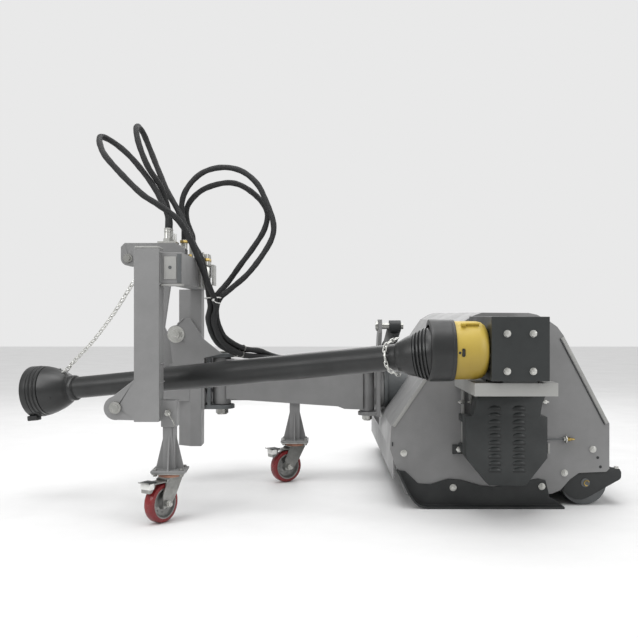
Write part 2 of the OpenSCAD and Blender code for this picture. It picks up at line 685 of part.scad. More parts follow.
module at_rotor(a) translate([rotor_x, 0, rotor_z]) rotate([0, a, 0]) children();
module rotor() color("dimgray") deck_place() {
  difference() {
    rod_y(rotor_x, 30, rotor_z, rotor_d / 2, deck_len - 60);
    rod_y(rotor_x, 42, rotor_z, rotor_d / 2 - 10, deck_len - 84);
    for (side = [-1, 1])
      rod_y(rotor_x, 26, rotor_z + side * 33, 6, deck_len - 52);
  }
  rod_y(rotor_x, belt_y - 4, rotor_z, 20, deck_len - belt_y + 20);
  for (row = [0 : 3])
    for (k = [0 : flail_count - 1])
      at_rotor(45 + 90 * row)
        for (side = [-1, 1])
          translate([-9, flail_y(row, k) + side * 16 - 3, 50]) difference() {
            cube([18, 6, 36]);
            translate([9, -1, bolt_r - 50]) rotate([-90, 0, 0]) cylinder(r = 5, h = 8, $fn = 24);
          }
}
module flail_row(row) at_rotor(45 + 90 * row)
  for (k = [0 : flail_count - 1])
    translate([0, flail_y(row, k), bolt_r]) {
      rotate([90, 0, 0]) translate([0, 0, -24]) cylinder(r = 4.93, h = 48, $fn = 24);
      translate([-8, -10, -9]) cube([16, 20, flail_len]);
      translate([-8, -22, flail_len - 34]) cube([16, 44, 26]);
    }
module flail_row_1() color("silver") deck_place() flail_row(0);
module flail_row_2() color("silver") deck_place() flail_row(1);
module flail_row_3() color("silver") deck_place() flail_row(2);
module flail_row_4() color("silver") deck_place() flail_row(3);
module bearing(y, l) {
  difference() {
    union() {
      rod_y(rotor_x, y, rotor_z, 62, 8);
      rod_y(rotor_x, y, rotor_z, 40, l);
    }
    rod_y(rotor_x, y - 1, rotor_z, 20 + run, l + 2);
  }
}
module rotor_bearings() color("dimgray") deck_place() {
  translate([0, -8, 0]) bearing(0, 8);
  translate([0, deck_len, 0]) bearing(0, 30);
}

// Drive
module gearbox_shelf() color("darkgray") deck_place() {
  top = shelf_z + shelf_t;
  difference() {
    block(shelf_x0, shelf_x1, -380, 0, shelf_z - shelf_lip, top);
    block(shelf_x0 + 8, shelf_x1 - 8, -370, 1, shelf_z - shelf_lip - 1, shelf_z);
    block(rotor_x - upper_r - 14, rotor_x + upper_r + 14, belt_y - 10, belt_y + pulley_w + 20, shelf_z - 1, top + 1);
  }
}
module gearbox_guard() color("black") deck_place() {
  w = guard_wall;
  difference() {
    block(box_x0, box_x1, box_y0, box_y1, box_z0, box_z1);
    block(box_x0 + w, box_x1 - w, box_y0 + w, box_y1 + 1, box_z0 - 1, box_z1 - w);
    rod_x(box_x0 - 1, input_y, input_z, 62, w + 2);
  }
  for (x = [rotor_x - 44, rotor_x + 34])
    for (z = [494, 606])
      hex_y(x, box_y0 - 6, z, 10, 6);
  for (x = [box_x0 + 3, box_x1 - 7])
    block(x, x + 4, -300, -220, shelf_z + shelf_t, box_z0 + 30);
}
module yellow_guard() color("khaki") deck_place() {
  difference() {
    union() {
      rod_x(422, input_y, input_z, 90, box_x0 - 422);
      block(box_x0 - 5, box_x0, box_y0 + 2, -236, box_z0 + 2, box_z1 - 4);
    }
    rod_x(421, input_y, input_z, 86, box_x0 - 420);
    rod_x(421, input_y, input_z, 80, 200);
  }
}
module gearbox_casing() color("dimgray") deck_place() {
  difference() {
    union() {
      block(545, 671, -386, -254, 491, 621);
      block(556, 660, -380, -260, shelf_z + shelf_t, 492);
      rod_x(530, input_y, input_z, 40, 16);
      rod_y(rotor_x, -256, input_z, 42, 22);
    }
    block(553, 663, -378, -262, 499, 613);
    rod_x(500, input_y, input_z, 17.4 + run, 60);
    rod_y(rotor_x, -270, input_z, 14 + run, 50);
  }
}
module yoke_ears(out, bore) {
  for (side = [-1, 1])
    difference() {
      union() {
        translate([out > 0 ? 0 : -yoke_reach, -14, side > 0 ? 20 : -28]) cube([yoke_reach, 28, 8]);
        translate([0, 0, side > 0 ? 20 : -28]) cylinder(r = 14, h = 8);
      }
      translate([0, 0, -40]) cylinder(r = bore, h = 80);
    }
  translate([out > 0 ? yoke_reach - 1 : -yoke_reach - 13, 0, 0]) rotate([0, 90, 0]) cylinder(r = 30, h = 14);
}
module input_shaft() color("silver") deck_place() {
  rod_x(joint_x + yoke_reach, input_y, input_z, 17.4, 98);
  translate([rotor_x - 26, input_y, input_z]) rotate([0, 90, 0]) cylinder(r1 = 46, r2 = 30, h = 10);
  translate(joint) yoke_ears(1, cross_r + 0.5);
}
module output_shaft() color("silver") deck_place() {
  translate([rotor_x, input_y + 27, input_z]) rotate([-90, 0, 0]) cylinder(r1 = 13, r2 = 22, h = 16);
  rod_y(rotor_x, input_y + 42, input_z, 14, belt_y + pulley_w - input_y - 34);
  pulley(input_z, upper_r);
}
module pulley(z, r) {
  translate([belt_x, belt_y, z]) rotate([-90, 0, 0]) rotate_extrude() polygon([[10, 0], [r + 3, 0],
    [r + 3, 4], [r - 0.5, 6], [r - 0.5, pulley_w - 6], [r + 3, pulley_w - 4], [r + 3, pulley_w], [10, pulley_w]]);
}
module lower_pulley() color("dimgray") deck_place() {
  difference() {
    pulley(rotor_z, lower_r);
    rod_y(rotor_x, belt_y - 1, rotor_z, 20.02, pulley_w + 2);
  }
}
module belt_loop(grow) {
  gap = input_z - rotor_z;
  lean = asin((upper_r - lower_r) / gap);
  up = upper_r + grow;
  low = lower_r + grow;
  circle_at(input_z, up);
  circle_at(rotor_z, low);
  polygon([[belt_x - up * cos(lean), input_z + up * sin(lean)], [belt_x + up * cos(lean), input_z + up * sin(lean)],
    [belt_x + low * cos(lean), rotor_z + low * sin(lean)], [belt_x - low * cos(lean), rotor_z + low * sin(lean)]]);
}
module circle_at(z, r) translate([belt_x, z]) circle(r = r);
module drive_belts() color("black") deck_place() {
  for (k = [0 : 2])
    translate([0, belt_y + 21 + 16 * k - 1, 0]) rotate([90, 0, 0]) linear_extrude(13) difference() {
      belt_loop(8);
      belt_loop(0);
    }
}
module belt_guard() color("black") deck_place() {
  difference() {
    plate_xz(guard_path, -guard_depth, guard_depth);
    plate_xz(ring_shift(guard_path, guard_wall), -guard_depth + guard_wall, guard_depth);
    block(belt_x - upper_r - 12, belt_x + upper_r + 12, belt_y - 8, belt_y + pulley_w + 8, 380, 400);
    for (column = [0, 1])
      for (row = [0 : louvre_rows - 1])
        block(549 + 79 * column, 593 + 79 * column, -guard_depth - 1, -guard_depth + guard_wall + 1,
          158 + 22.3 * row, 163 + 22.3 * row);
  }
}

// Shaft to the tractor, drawn along X from its joint at the gearbox
module at_shaft() translate(joint) rotate([0, 0, shaft_yaw]) rotate([0, shaft_pitch, 0]) children();
module turned(points) rotate([0, -90, 0]) rotate_extrude() polygon(points);
module along(start, r, l) translate([-start - l, 0, 0]) rotate([0, 90, 0]) cylinder(r = r, h = l);
module pto_cross() color("silver") deck_place() translate(joint) rotate([0, 0, shaft_yaw]) {
  sphere(r = 13);
  cylinder(r = cross_r, h = 2 * cross_reach, center = true);
  rotate([90, 0, 0]) cylinder(r = cross_r, h = 2 * cross_reach, center = true);
}
module pto_rear_guard() color("black") deck_place() at_shaft() {
  r = rear_tube_d / 2;
  turned([[rim - 4, 60], [rim, 60], [rim, 140], [rim - 4, 150], [r + 8, 226], [r + 8, 236], [r, 244],
    [r, 1090], [front_tube_d / 2 + 0.5, 1090], [front_tube_d / 2 + 0.5, 240], [20 + seat, 240],
    [20 + seat, 230], [r - 2, 222], [rim - 8, 146], [rim - 4, 138]]);
}
module pto_front_guard() color("black") deck_place() at_shaft() {
  r = front_tube_d / 2;
  turned([[r, 700], [r, 1415], [r + 8, 1427], [r + 10, 1475], [rim - 16, 1505], [rim - 6, 1565],
    [rim - 6, shaft_len], [rim - 10, shaft_len], [rim - 10, 1567], [rim - 20, 1509], [r + 5, 1479], [r, 1462],
    [26 + seat, 1454], [26 + seat, 1444], [r - 4, 1436], [r - 4, 700]]);
}
module pto_rear_shaft() color("silver") deck_place() at_shaft() {
  rotate([90, 0, 0]) yoke_ears(-1, cross_r + 0.5);
  along(yoke_reach + 12, 20, 960);
}
module pto_front_shaft() color("silver") deck_place() at_shaft() {
  difference() {
    along(640, 26, joint_front - 46 - 640 + 1);
    along(630, 20 + run, 860);
  }
  translate([-joint_front, 0, 0]) {
    rotate([90, 0, 0]) yoke_ears(1, cross_r + run);
    sphere(r = 13);
    for (turn = [0, 90])
      rotate([turn, 0, 0]) cylinder(r = cross_r, h = 60, center = true);
    difference() {
      union() {
        yoke_ears(-1, cross_r + run);
        along(yoke_reach + 12, 30, 60);
      }
      along(yoke_reach - 2, spline_d / 2 + run, 80);
    }
  }
}

// Hoses: the route of each, in the drawing's millimetres
hose_routes = [
  [[-541, 94, 960], [-541, 94, 1015], [-562, 92, 1068], [-603, 92, 1140], [-670, 92, 1224],
   [-730, 84, 1276], [-768, 46, 1290], [-752, -20, 1244], [-713, -60, 1187], [-612, -50, 1082],
   [-550, -30, 1040], [-492, 0, 996], [-456, 26, 936], [-428, 52, 866], [-406, 88, 800],
   [-376, 150, 700], [-388, 190, 639], [-364, 260, 559], [-300, 348, 511], [-244, 388, 500],
   [-203, 410, 494], [-168, 419, 489.5], [-138.3, 421, 489]],
  [[-541, 134, 960], [-541, 134, 1010], [-548, 128, 1050], [-568, 110, 1122], [-606, 74, 1186],
   [-634, 64, 1256], [-652, 86, 1318], [-655, 130, 1345], [-644, 172, 1328], [-622, 190, 1270],
   [-592, 180, 1198], [-556, 160, 1118], [-515, 140, 1048], [-480, 124, 980], [-450, 116, 915],
   [-422, 116, 860], [-410, 126, 800], [-398, 164, 700], [-410, 204, 639], [-386, 274, 559],
   [-322, 362, 512], [-266, 408, 500], [-222, 446, 494], [-178, 464, 489.5], [-138.3, 467, 489]],
  [[-496, 180, 925], [-496, 180, 975], [-505, 180, 1066], [-484, 180, 1130], [-430, 178, 1184],
   [-357, 174, 1204], [-284, 170, 1190], [-226, 166, 1142], [-192, 164, 1074], [-168, 162, 1006],
   [-170, 162, 950], [-204, 164, 886], [-262, 170, 812], [-325, 178, 758], [-364, 170, 722],
   [-380, 200, 662], [-358, 270, 581], [-294, 358, 533], [-238, 392, 523], [-205, 430, 508],
   [-170, 442, 495], [-138.3, 444, 489.5]],
  [[-470, 212, 925], [-470, 212, 955], [-492, 211, 1020], [-484, 208, 1074], [-433, 204, 1125],
   [-357, 200, 1150], [-300, 198, 1146], [-245, 196, 1114], [-204, 194, 1070], [-190, 192, 1030],
   [-204, 192, 973], [-245, 194, 908], [-290, 198, 848], [-338, 214, 784], [-386, 186, 722],
   [-402, 214, 662], [-380, 284, 581], [-316, 372, 534], [-260, 416, 523], [-226, 470, 511],
   [-182, 487.5, 491.5], [-138.3, 490, 489]]];
function hose_dir(p, i) = let (n = len(p), d = p[min(i + 1, n - 1)] - p[max(i - 1, 0)]) d / norm(d);
module hoses() color("dimgray") place() {
  for (route = hose_routes)
    hose(route);
}
module hose(p) {
  sides = 8;
  n = len(p);
  points = [for (i = [0 : n - 1]) let (
    d = hose_dir(p, i), u = cross(d, [0, 1, 0]) / norm(cross(d, [0, 1, 0])), v = cross(d, u))
    for (k = [0 : sides - 1]) p[i] + hose_d / 2 * (u * cos(360 * k / sides) + v * sin(360 * k / sides))];
  skin = [for (i = [0 : n - 2]) for (k = [0 : sides - 1]) for (t = [0, 1]) let (
    a = i * sides + k, b = i * sides + (k + 1) % sides)
    t == 0 ? [a, b, b + sides] : [a, b + sides, a + sides]];
  caps = [[for (k = [sides - 1 : -1 : 0]) k], [for (k = [0 : sides - 1]) (n - 1) * sides + k]];
  polyhedron(points, concat(skin, caps));
}

headstock_frame();
top_link_plates();
top_link_pin();
hitch_pins();
lynch_pins();
pivot_fork();
pivot_pins();
breakaway_bolt();
hose_bracket();
near_leg();
near_lock_pin();
near_castor_plate();
near_fork();
near_wheel();
near_pedal();
arm_beam();
arm_bushes();
parallel_link();
far_castor_plate();
far_fork();
far_wheel();
far_pedal();
carrier();
outer_pivot_pin();
tilt_shaft();
tilt_tube();
shift_barrel();
shift_rod();
tilt_barrel();
tilt_rod();
deck_hood();
near_end_plate();
far_end_plate();
skids();
front_flap();
rear_roller();
roller_brackets();
rotor();
rotor_bearings();
flail_row_1();
flail_row_2();
flail_row_3();
flail_row_4();
gearbox_shelf();
gearbox_guard();
yellow_guard();
gearbox_casing();
input_shaft();
output_shaft();
lower_pulley();
drive_belts();
belt_guard();
pto_cross();
pto_rear_guard();
pto_front_guard();
pto_rear_shaft();
pto_front_shaft();
hoses();
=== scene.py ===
# %% [markdown]
# # An offset flail mower, dressed for the camera
# A flail mower hangs on a tractor's three-point linkage and cuts verges beside it. The steel
# frame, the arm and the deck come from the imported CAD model. This lesson loads that frame and
# gives every part its finish. It then adds what a plain solid leaves out: hoses, ribs, welds,
# louvres, bolts, chains and wheels.

# %% Load the frame
import math

import bmesh
import bpy
from mathutils import Matrix, Vector


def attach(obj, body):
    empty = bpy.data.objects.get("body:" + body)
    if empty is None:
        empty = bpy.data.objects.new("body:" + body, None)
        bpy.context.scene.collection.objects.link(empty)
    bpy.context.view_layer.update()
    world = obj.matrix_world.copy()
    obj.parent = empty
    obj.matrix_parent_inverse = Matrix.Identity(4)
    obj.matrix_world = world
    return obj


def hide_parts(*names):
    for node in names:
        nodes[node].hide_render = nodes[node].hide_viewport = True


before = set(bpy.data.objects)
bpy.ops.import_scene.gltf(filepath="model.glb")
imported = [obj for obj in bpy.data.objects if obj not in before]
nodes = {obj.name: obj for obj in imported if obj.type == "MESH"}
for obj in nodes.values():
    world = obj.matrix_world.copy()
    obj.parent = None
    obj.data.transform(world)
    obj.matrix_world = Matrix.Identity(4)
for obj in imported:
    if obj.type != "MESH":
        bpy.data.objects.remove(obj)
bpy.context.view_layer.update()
scene = bpy.context.scene

# %% [markdown]
# The drawing counts millimetres from the middle of the photograph, and the frame counts metres
# from the middle of the machine. One helper turns the first into the second, so every place
# below can be read as a size on the real machine.

# %% Places in millimetres
MID_X, MID_Y = -28, 445
MM = 0.001


def at(x, y, z):
    return Vector(((x - MID_X) * MM, (y - MID_Y) * MM, z * MM))


print("drawing zero", tuple(at(0, 0, 0)))

# %% [markdown]
# ## Camera
# The photograph is level, taken from about 2.95 m in front of the near end plate with the lens
# at 0.67 m. A small vertical shift keeps the horizon where the picture has it, and the lens
# stays level so that upright edges stay upright.

# %% Camera
CAMERA_AWAY, CAMERA_HIGH = 2946, 666
SENSOR_MM, FOCAL_PX, PICTURE_PX, SHIFT_PX = 36, 850, 638, -5
lens = bpy.data.cameras.new("camera")
lens.sensor_width = SENSOR_MM
lens.lens = FOCAL_PX * SENSOR_MM / PICTURE_PX
lens.shift_y = SHIFT_PX / PICTURE_PX
camera = bpy.data.objects.new("camera", lens)
scene.collection.objects.link(camera)
camera.location = at(0, -CAMERA_AWAY, CAMERA_HIGH)
camera.rotation_euler = (math.pi / 2, 0, 0)
scene.camera = camera
scene.view_settings.view_transform = "Standard"
print("lens", round(lens.lens, 2), "mm")

# %% [markdown]
# ## Light and floor
# Soft studio light comes from four large lamps, one overhead, one on each side and one behind.
# A wide, weak sun lights the upper faces evenly. The world adds a fill, and shows a paler
# backdrop to the camera and through glass only, so the backdrop itself lights nothing.

# %% One function for nodes


def node(tree, kind, links=None, **settings):
    made = tree.nodes.new(kind)
    for name, value in settings.items():
        setattr(made, name, value)
    for socket, value in (links or {}).items():
        target = made.inputs[socket]
        if isinstance(value, bpy.types.NodeSocket):
            tree.links.new(value, target)
        else:
            target.default_value = value
    return made


def linear(hex_colour):
    parts = [int(hex_colour[i:i + 2], 16) / 255 for i in (1, 3, 5)]
    return [c / 12.92 if c < 0.04045 else ((c + 0.055) / 1.055) ** 2.4 for c in parts] + [1]


def two_tones(ramp, dark, light):
    """Colours the two ends of a ramp."""
    for end, colour in zip(ramp.color_ramp.elements, (dark, light)):
        end.color = linear(colour)


print("mid grey", [round(c, 3) for c in linear("#8d8d8d")])

# %% World
world = bpy.data.worlds.new("studio")
scene.world = world
world.use_nodes = True
tree = world.node_tree
tree.nodes.clear()
path = node(tree, "ShaderNodeLightPath")
seen = node(tree, "ShaderNodeMath", {0: path.outputs["Is Camera Ray"],
                                     1: path.outputs["Is Transmission Ray"]}, operation="MAXIMUM")
fill = node(tree, "ShaderNodeBackground", {"Color": linear("#f2f2f2"), "Strength": 0.62})
backdrop = node(tree, "ShaderNodeBackground", {"Color": linear("#e9e9e9"), "Strength": 1.0})
mixed = node(tree, "ShaderNodeMixShader", {0: seen.outputs[0], 1: fill.outputs[0],
                                           2: backdrop.outputs[0]})
node(tree, "ShaderNodeOutputWorld", {"Surface": mixed.outputs[0]})
print("world nodes", len(tree.nodes))

# %% Lamps
LAMPS = {"overhead": ((200, 300, 3600), 3.2, 62), "left": ((-2600, -2200, 2300), 2.0, 44),
         "right": ((2700, -2000, 1700), 1.8, 26), "behind": ((0, 3200, 2400), 2.4, 30)}
for name, (place, size, power) in LAMPS.items():
    lamp = bpy.data.lights.new(name, "AREA")
    lamp.size = size
    lamp.energy = power
    lit = bpy.data.objects.new(name, lamp)
    scene.collection.objects.link(lit)
    lit.location = at(*place)
    lit.rotation_euler = (at(150, 300, 450) - lit.location).to_track_quat("-Z", "Y").to_euler()
even = bpy.data.lights.new("even", "SUN")
even.angle = math.radians(40)
even.energy = 1.1
high = bpy.data.objects.new("even", even)
scene.collection.objects.link(high)
high.rotation_euler = (math.radians(18), math.radians(-12), 0)
print("lamps", len(LAMPS) + 1)

# %% [markdown]
# ## Making pieces
# A piece starts as a bmesh, becomes an object at the origin with its place in its mesh, and
# rides on a body of the CAD model. One function does all of that, so no piece can be left
# behind when a joint moves. Faces are shaded smooth except over sharp edges.

# %% From bmesh to a riding piece


def piece(name, bm, material, body, replaced=(), sharp=35):
    bmesh.ops.remove_doubles(bm, verts=bm.verts, dist=1e-6)
    bmesh.ops.recalc_face_normals(bm, faces=bm.faces)
    mesh = bpy.data.meshes.new(name)
    bm.to_mesh(mesh)
    bm.free()
    made = bpy.data.objects.new(name, mesh)
    scene.collection.objects.link(made)
    mesh.materials.append(material)
    mesh.shade_smooth()
    mesh.set_sharp_from_angle(angle=math.radians(sharp))
    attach(made, body)
    if replaced:
        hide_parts(*replaced)
    return made


def turn_to(axis):
    """The turn that takes Z to the axis."""
    return Vector(axis).to_track_quat("Z", "Y").to_matrix().to_4x4()


print("helpers ready")

# %% Basic shapes


def add_block(bm, low, high, bevel=1.0, turn=Matrix()):
    centre = [(a + b) / 2 for a, b in zip(low, high)]
    size = [abs(b - a) * MM for a, b in zip(low, high)]
    shape = bmesh.ops.create_cube(bm, size=1, matrix=Matrix.Translation(at(*centre)) @ turn
                                  @ Matrix.Diagonal((*size, 1)))
    if bevel:
        edges = {e for v in shape["verts"] for e in v.link_edges}
        bmesh.ops.bevel(bm, geom=list(edges), offset=bevel * MM, offset_type="OFFSET", segments=2,
                        affect="EDGES", profile=0.5, material=-1)


def add_block_about(bm, centre, half, bevel=1.0, turn=Matrix()):
    """A block from its middle and its half sizes."""
    low = [c - s for c, s in zip(centre, half)]
    add_block(bm, low, [c + s for c, s in zip(centre, half)], bevel, turn)


def add_prism(bm, outline, y0, y1, bevel=0.8):
    """A flat plate from its outline in X and Z, reaching from y0 to y1."""
    first = bm.faces.new([bm.verts.new(at(x, y0, z)) for x, z in outline])
    made = bmesh.ops.extrude_face_region(bm, geom=[first])["geom"]
    moved = [v for v in made if isinstance(v, bmesh.types.BMVert)]
    bmesh.ops.translate(bm, verts=moved, vec=(0, (y1 - y0) * MM, 0))
    if bevel:
        rims = {e for v in moved + list(first.verts) for e in v.link_edges}
        bmesh.ops.bevel(bm, geom=list(rims), offset=bevel * MM, offset_type="OFFSET", segments=2,
                        affect="EDGES", profile=0.5, material=-1)


def add_round(bm, centre, axis, radius, length, sides=24, top=None, bevel=0.6):
    """A disc or rod from its base centre along an axis, in millimetres."""
    turn = Matrix.Translation(at(*centre)) @ turn_to(axis)
    shape = bmesh.ops.create_cone(
        bm, cap_ends=True, segments=sides, radius1=radius * MM,
        radius2=(radius if top is None else top) * MM, depth=length * MM,
        matrix=turn @ Matrix.Translation((0, 0, length * MM / 2)))
    if bevel:
        caps = {e for v in shape["verts"] for e in v.link_edges
                if sum(len(f.verts) > 4 for f in e.link_faces) == 1}
        bmesh.ops.bevel(bm, geom=list(caps), offset=bevel * MM, offset_type="OFFSET", segments=2,
                        affect="EDGES", profile=0.5, material=-1)


def add_bolt(bm, centre, axis, across=17, tall=8, washer=12):
    """A washer, a six-sided head and the end of the thread."""
    unit = Vector(axis).normalized()
    add_round(bm, centre, axis, washer, 2.2, 24, bevel=0.4)
    up = [c + 2 * u for c, u in zip(centre, unit)]
    add_round(bm, up, axis, across / 1.732, tall, 6, bevel=1.1)
    top = [c + (2 + tall - 0.2) * u for c, u in zip(centre, unit)]
    add_round(bm, top, axis, across * 0.28, 3.5, 16, bevel=0.5)


def add_turned(bm, profile, start, axis, steps=64):
    """Spins a closed outline of (distance along the axis, radius) round the axis."""
    turn = Matrix.Translation(at(*start)) @ turn_to(axis)
    ring = [bm.verts.new(turn @ Vector((r * MM, 0, z * MM))) for z, r in profile]
    edges = [bm.edges.new((ring[i], ring[(i + 1) % len(ring)])) for i in range(len(ring))]
    bmesh.ops.spin(bm, geom=ring + edges, cent=turn @ Vector(),
                   axis=turn.to_3x3() @ Vector((0, 0, 1)), angle=math.tau, steps=steps,
                   use_merge=True, use_duplicate=False)


print("shapes ready")

# %% [markdown]
# Hoses, chains, wires and weld beads all follow a line in space. A sweep lays one ring of
# vertices after another along a smoothed line, turning each ring as little as it can from the
# last, so that the tube never twists. It also writes how far along and around each face is, so
# that a woven pattern can follow the hose.

# %% Smooth lines and tubes


def smooth_line(points, spacing):
    """A smooth line through the points, with a point about every so many millimetres."""
    p = [Vector(q) for q in points]
    p = [2 * p[0] - p[1]] + p + [2 * p[-1] - p[-2]]
    line = []
    for i in range(1, len(p) - 2):
        count = max(1, round((p[i + 1] - p[i]).length / spacing))
        for k in range(count):
            t = k / count
            line.append(0.5 * ((2 * p[i]) + (p[i + 1] - p[i - 1]) * t
                               + (2 * p[i - 1] - 5 * p[i] + 4 * p[i + 1] - p[i + 2]) * t ** 2
                               + (3 * p[i] - p[i - 1] - 3 * p[i + 1] + p[i + 2]) * t ** 3))
    return line + [p[-2]]


def add_tube(bm, line, radius, sides=10, closed=False, wave=None):
    n = len(line)
    uv = bm.loops.layers.uv.verify()
    rings, gone, travelled = [], 0.0, []
    turn = None
    for i, point in enumerate(line):
        after = line[(i + 1) % n] if closed or i < n - 1 else point
        before = line[i - 1] if closed or i > 0 else point
        along = (after - before).normalized()
        if turn is None:
            turn = along.to_track_quat("Z", "Y")
        else:
            turn = (turn @ Vector((0, 0, 1))).rotation_difference(along) @ turn
        gone += (point - line[i - 1]).length if i else 0
        travelled.append(gone)
        r = radius * (wave(i, gone) if wave else 1) * MM
        matrix = Matrix.Translation(at(*point)) @ turn.to_matrix().to_4x4()
        rings.append(bmesh.ops.create_circle(bm, segments=sides, radius=r, matrix=matrix)["verts"])
    for i in range(n if closed else n - 1):
        a, b = rings[i], rings[(i + 1) % n]
        for k in range(sides):
            face = bm.faces.new((a[k], a[(k + 1) % sides], b[(k + 1) % sides], b[k]))
            for loop, (u, v) in zip(face.loops, ((k, i), (k + 1, i), (k + 1, i + 1), (k, i + 1))):
                loop[uv].uv = (u / sides, travelled[min(v, n - 1)] * MM)
    if not closed:
        bm.faces.new(rings[0])
        bm.faces.new(rings[-1])
    return gone


print("sweep ready")

# %% [markdown]
# ## Finishes
# Each finish is named for what it is and how its surface was made. Paint has a slight orange
# peel and faint soiling, zinc has pale crystals, moulded plastic has a fine grain, and the hose
# sleeve shows its weave. Patterns too fine to show from three metres are drawn a little coarser.

# %% A base for every finish


def start_finish(name, roughness, metallic=0.0, ior=1.5):
    material = bpy.data.materials.new(name)
    material.use_nodes = True
    tree = material.node_tree
    tree.nodes.clear()
    shader = node(tree, "ShaderNodeBsdfPrincipled",
                  {"Roughness": roughness, "Metallic": metallic, "IOR": ior})
    node(tree, "ShaderNodeOutputMaterial", {"Surface": shader.outputs[0]})
    place = node(tree, "ShaderNodeTexCoord")
    return material, tree, shader, place.outputs["Object"]


def add_bump(tree, shader, height, strength, distance):
    bump = node(tree, "ShaderNodeBump", {"Height": height, "Strength": strength,
                                         "Distance": distance})
    tree.links.new(bump.outputs[0], shader.inputs["Normal"])


def blotchy(name, dark, light, roughness, scale, metallic=0.0, grain=900, depth=0.00012,
            strength=0.3, rough_spread=0.1):
    """A finish that drifts between two near colours, with a fine grain in its surface."""
    material, tree, shader, place = start_finish(name, roughness, metallic)
    cloud = node(tree, "ShaderNodeTexNoise", {"Vector": place, "Scale": scale, "Detail": 6,
                                              "Roughness": 0.62})
    tone = node(tree, "ShaderNodeValToRGB", {"Fac": cloud.outputs["Fac"]})
    tone.color_ramp.elements[0].position, tone.color_ramp.elements[1].position = 0.32, 0.68
    two_tones(tone, dark, light)
    tree.links.new(tone.outputs["Color"], shader.inputs["Base Color"])
    spread = node(tree, "ShaderNodeMapRange", {"Value": cloud.outputs["Fac"], "From Min": 0.3,
                                               "From Max": 0.7, "To Min": roughness + rough_spread,
                                               "To Max": roughness - rough_spread})
    tree.links.new(spread.outputs[0], shader.inputs["Roughness"])
    fine = node(tree, "ShaderNodeTexNoise", {"Vector": place, "Scale": grain, "Detail": 2})
    add_bump(tree, shader, fine.outputs["Fac"], strength, depth)
    return material


print("finish helpers ready")

# %% Paints, metals and plastics
machine_paint = blotchy("machine_paint", "#787878", "#838383", 0.42, 7, grain=420)
plate_paint = blotchy("deck_plate_paint", "#757575", "#818181", 0.45, 5, grain=420)
shelf_paint = blotchy("shelf_paint", "#8f8f8d", "#9b9b98", 0.45, 7, grain=420)
arm_paint = blotchy("arm_paint", "#777777", "#828282", 0.42, 7, grain=420)
black_paint = blotchy("black_powder_coat", "#1c1e1f", "#272929", 0.5, 9, grain=650,
                      strength=0.45)
guard_paint = blotchy("guard_powder_coat", "#1f2222", "#2a2d2d", 0.42, 8, grain=650,
                      strength=0.45)
dark_paint = blotchy("dark_grey_paint", "#4c4f50", "#5c5f60", 0.45, 9, grain=420)
zinc = blotchy("zinc_plate", "#b4b4af", "#cdcdc9", 0.32, 60, metallic=0.75, grain=900)
castor_zinc = blotchy("castor_zinc", "#8e8e8b", "#adadaa", 0.36, 40, metallic=0.85, grain=700)
bright_steel = blotchy("machined_steel", "#989894", "#b4b4b0", 0.28, 50, metallic=1.0, grain=900)
hard_chrome = blotchy("hard_chrome", "#c2c4c6", "#d4d6d8", 0.1, 20, metallic=1.0, strength=0.05)
rough_casting = blotchy("rough_casting", "#3c3d3d", "#4b4c4c", 0.6, 30, metallic=0.3, grain=350,
                        depth=0.0004, strength=0.7)
bronze = blotchy("bearing_bronze", "#8a6a38", "#a6824a", 0.35, 40, metallic=1.0)
brass = blotchy("turned_brass", "#8f7a45", "#b09a62", 0.28, 60, metallic=1.0)
tube_plastic = blotchy("guard_tube_plastic", "#191a1a", "#252626", 0.36, 12, grain=260,
                       strength=0.35, rough_spread=0.08)
cone_plastic = blotchy("cone_plastic", "#191a1a", "#242525", 0.48, 14, grain=420)
# Black rubber for the belts and cone screws; the same finish also serves as painted shade in the
# louvre openings and the yellow bell.
black_rubber_and_painted_shade = blotchy("black_rubber_and_painted_shade", "#222323", "#2e2f2f", 0.75, 20, grain=500)
hub_grey = blotchy("hub_grey", "#80807e", "#999997", 0.35, 40, metallic=0.7)
cap_plastic = blotchy("cap_plastic", "#d9d9d6", "#e6e6e3", 0.4, 40)
chain_zinc = blotchy("chain_zinc", "#c6c6c2", "#dededa", 0.3, 60, metallic=0.6, grain=900)
seal_plastic = blotchy("seal_plastic", "#8f5f4e", "#a5765f", 0.45, 40)
print("plain finishes", len(bpy.data.materials))

# %% [markdown]
# The tyre is cast polyurethane, which is glossy and lets a little light into its red. The
# yellow guard is moulded polythene, painted darker towards its bottom as painted shade. Both keep
# one colour family, and the rest of their variation comes from noise.

# %% Wheel rubber and yellow guard
red_tyre = blotchy("cast_polyurethane", "#6a1a1d", "#7f2225", 0.3, 18, grain=300, strength=0.15)
yellow_guard, tree, shader, place = start_finish("yellow_polythene", 0.42)
cloud = node(tree, "ShaderNodeTexNoise", {"Vector": place, "Scale": 16, "Detail": 6})
# Painted shade: the height of each point darkens the guard from its top down to its bottom.
low_part = node(tree, "ShaderNodeSeparateXYZ", {"Vector": place})
shade = node(tree, "ShaderNodeMapRange", {"Value": low_part.outputs["Z"], "From Min": 0.462,
                                          "From Max": 0.64, "To Min": 0, "To Max": 0.8})
drift = node(tree, "ShaderNodeMath", {0: cloud.outputs["Fac"], 1: 0.3}, operation="MULTIPLY")
level = node(tree, "ShaderNodeMath", {0: shade.outputs[0], 1: drift.outputs[0]}, operation="ADD")
tone = node(tree, "ShaderNodeValToRGB", {"Fac": level.outputs[0]})
two_tones(tone, "#846c1b", "#bca449")
tree.links.new(tone.outputs["Color"], shader.inputs["Base Color"])
add_bump(tree, shader, cloud.outputs["Fac"], 0.15, 0.0006)
print("yellow guard finish ready")

# %% [markdown]
# The hoses wear a woven nylon sleeve against rubbing. Two sets of threads cross it at a slant.
# The pattern runs on the hose's own coordinates, one around and one along, so it bends with
# the hose. Real threads are about a millimetre wide, and these are drawn wider.

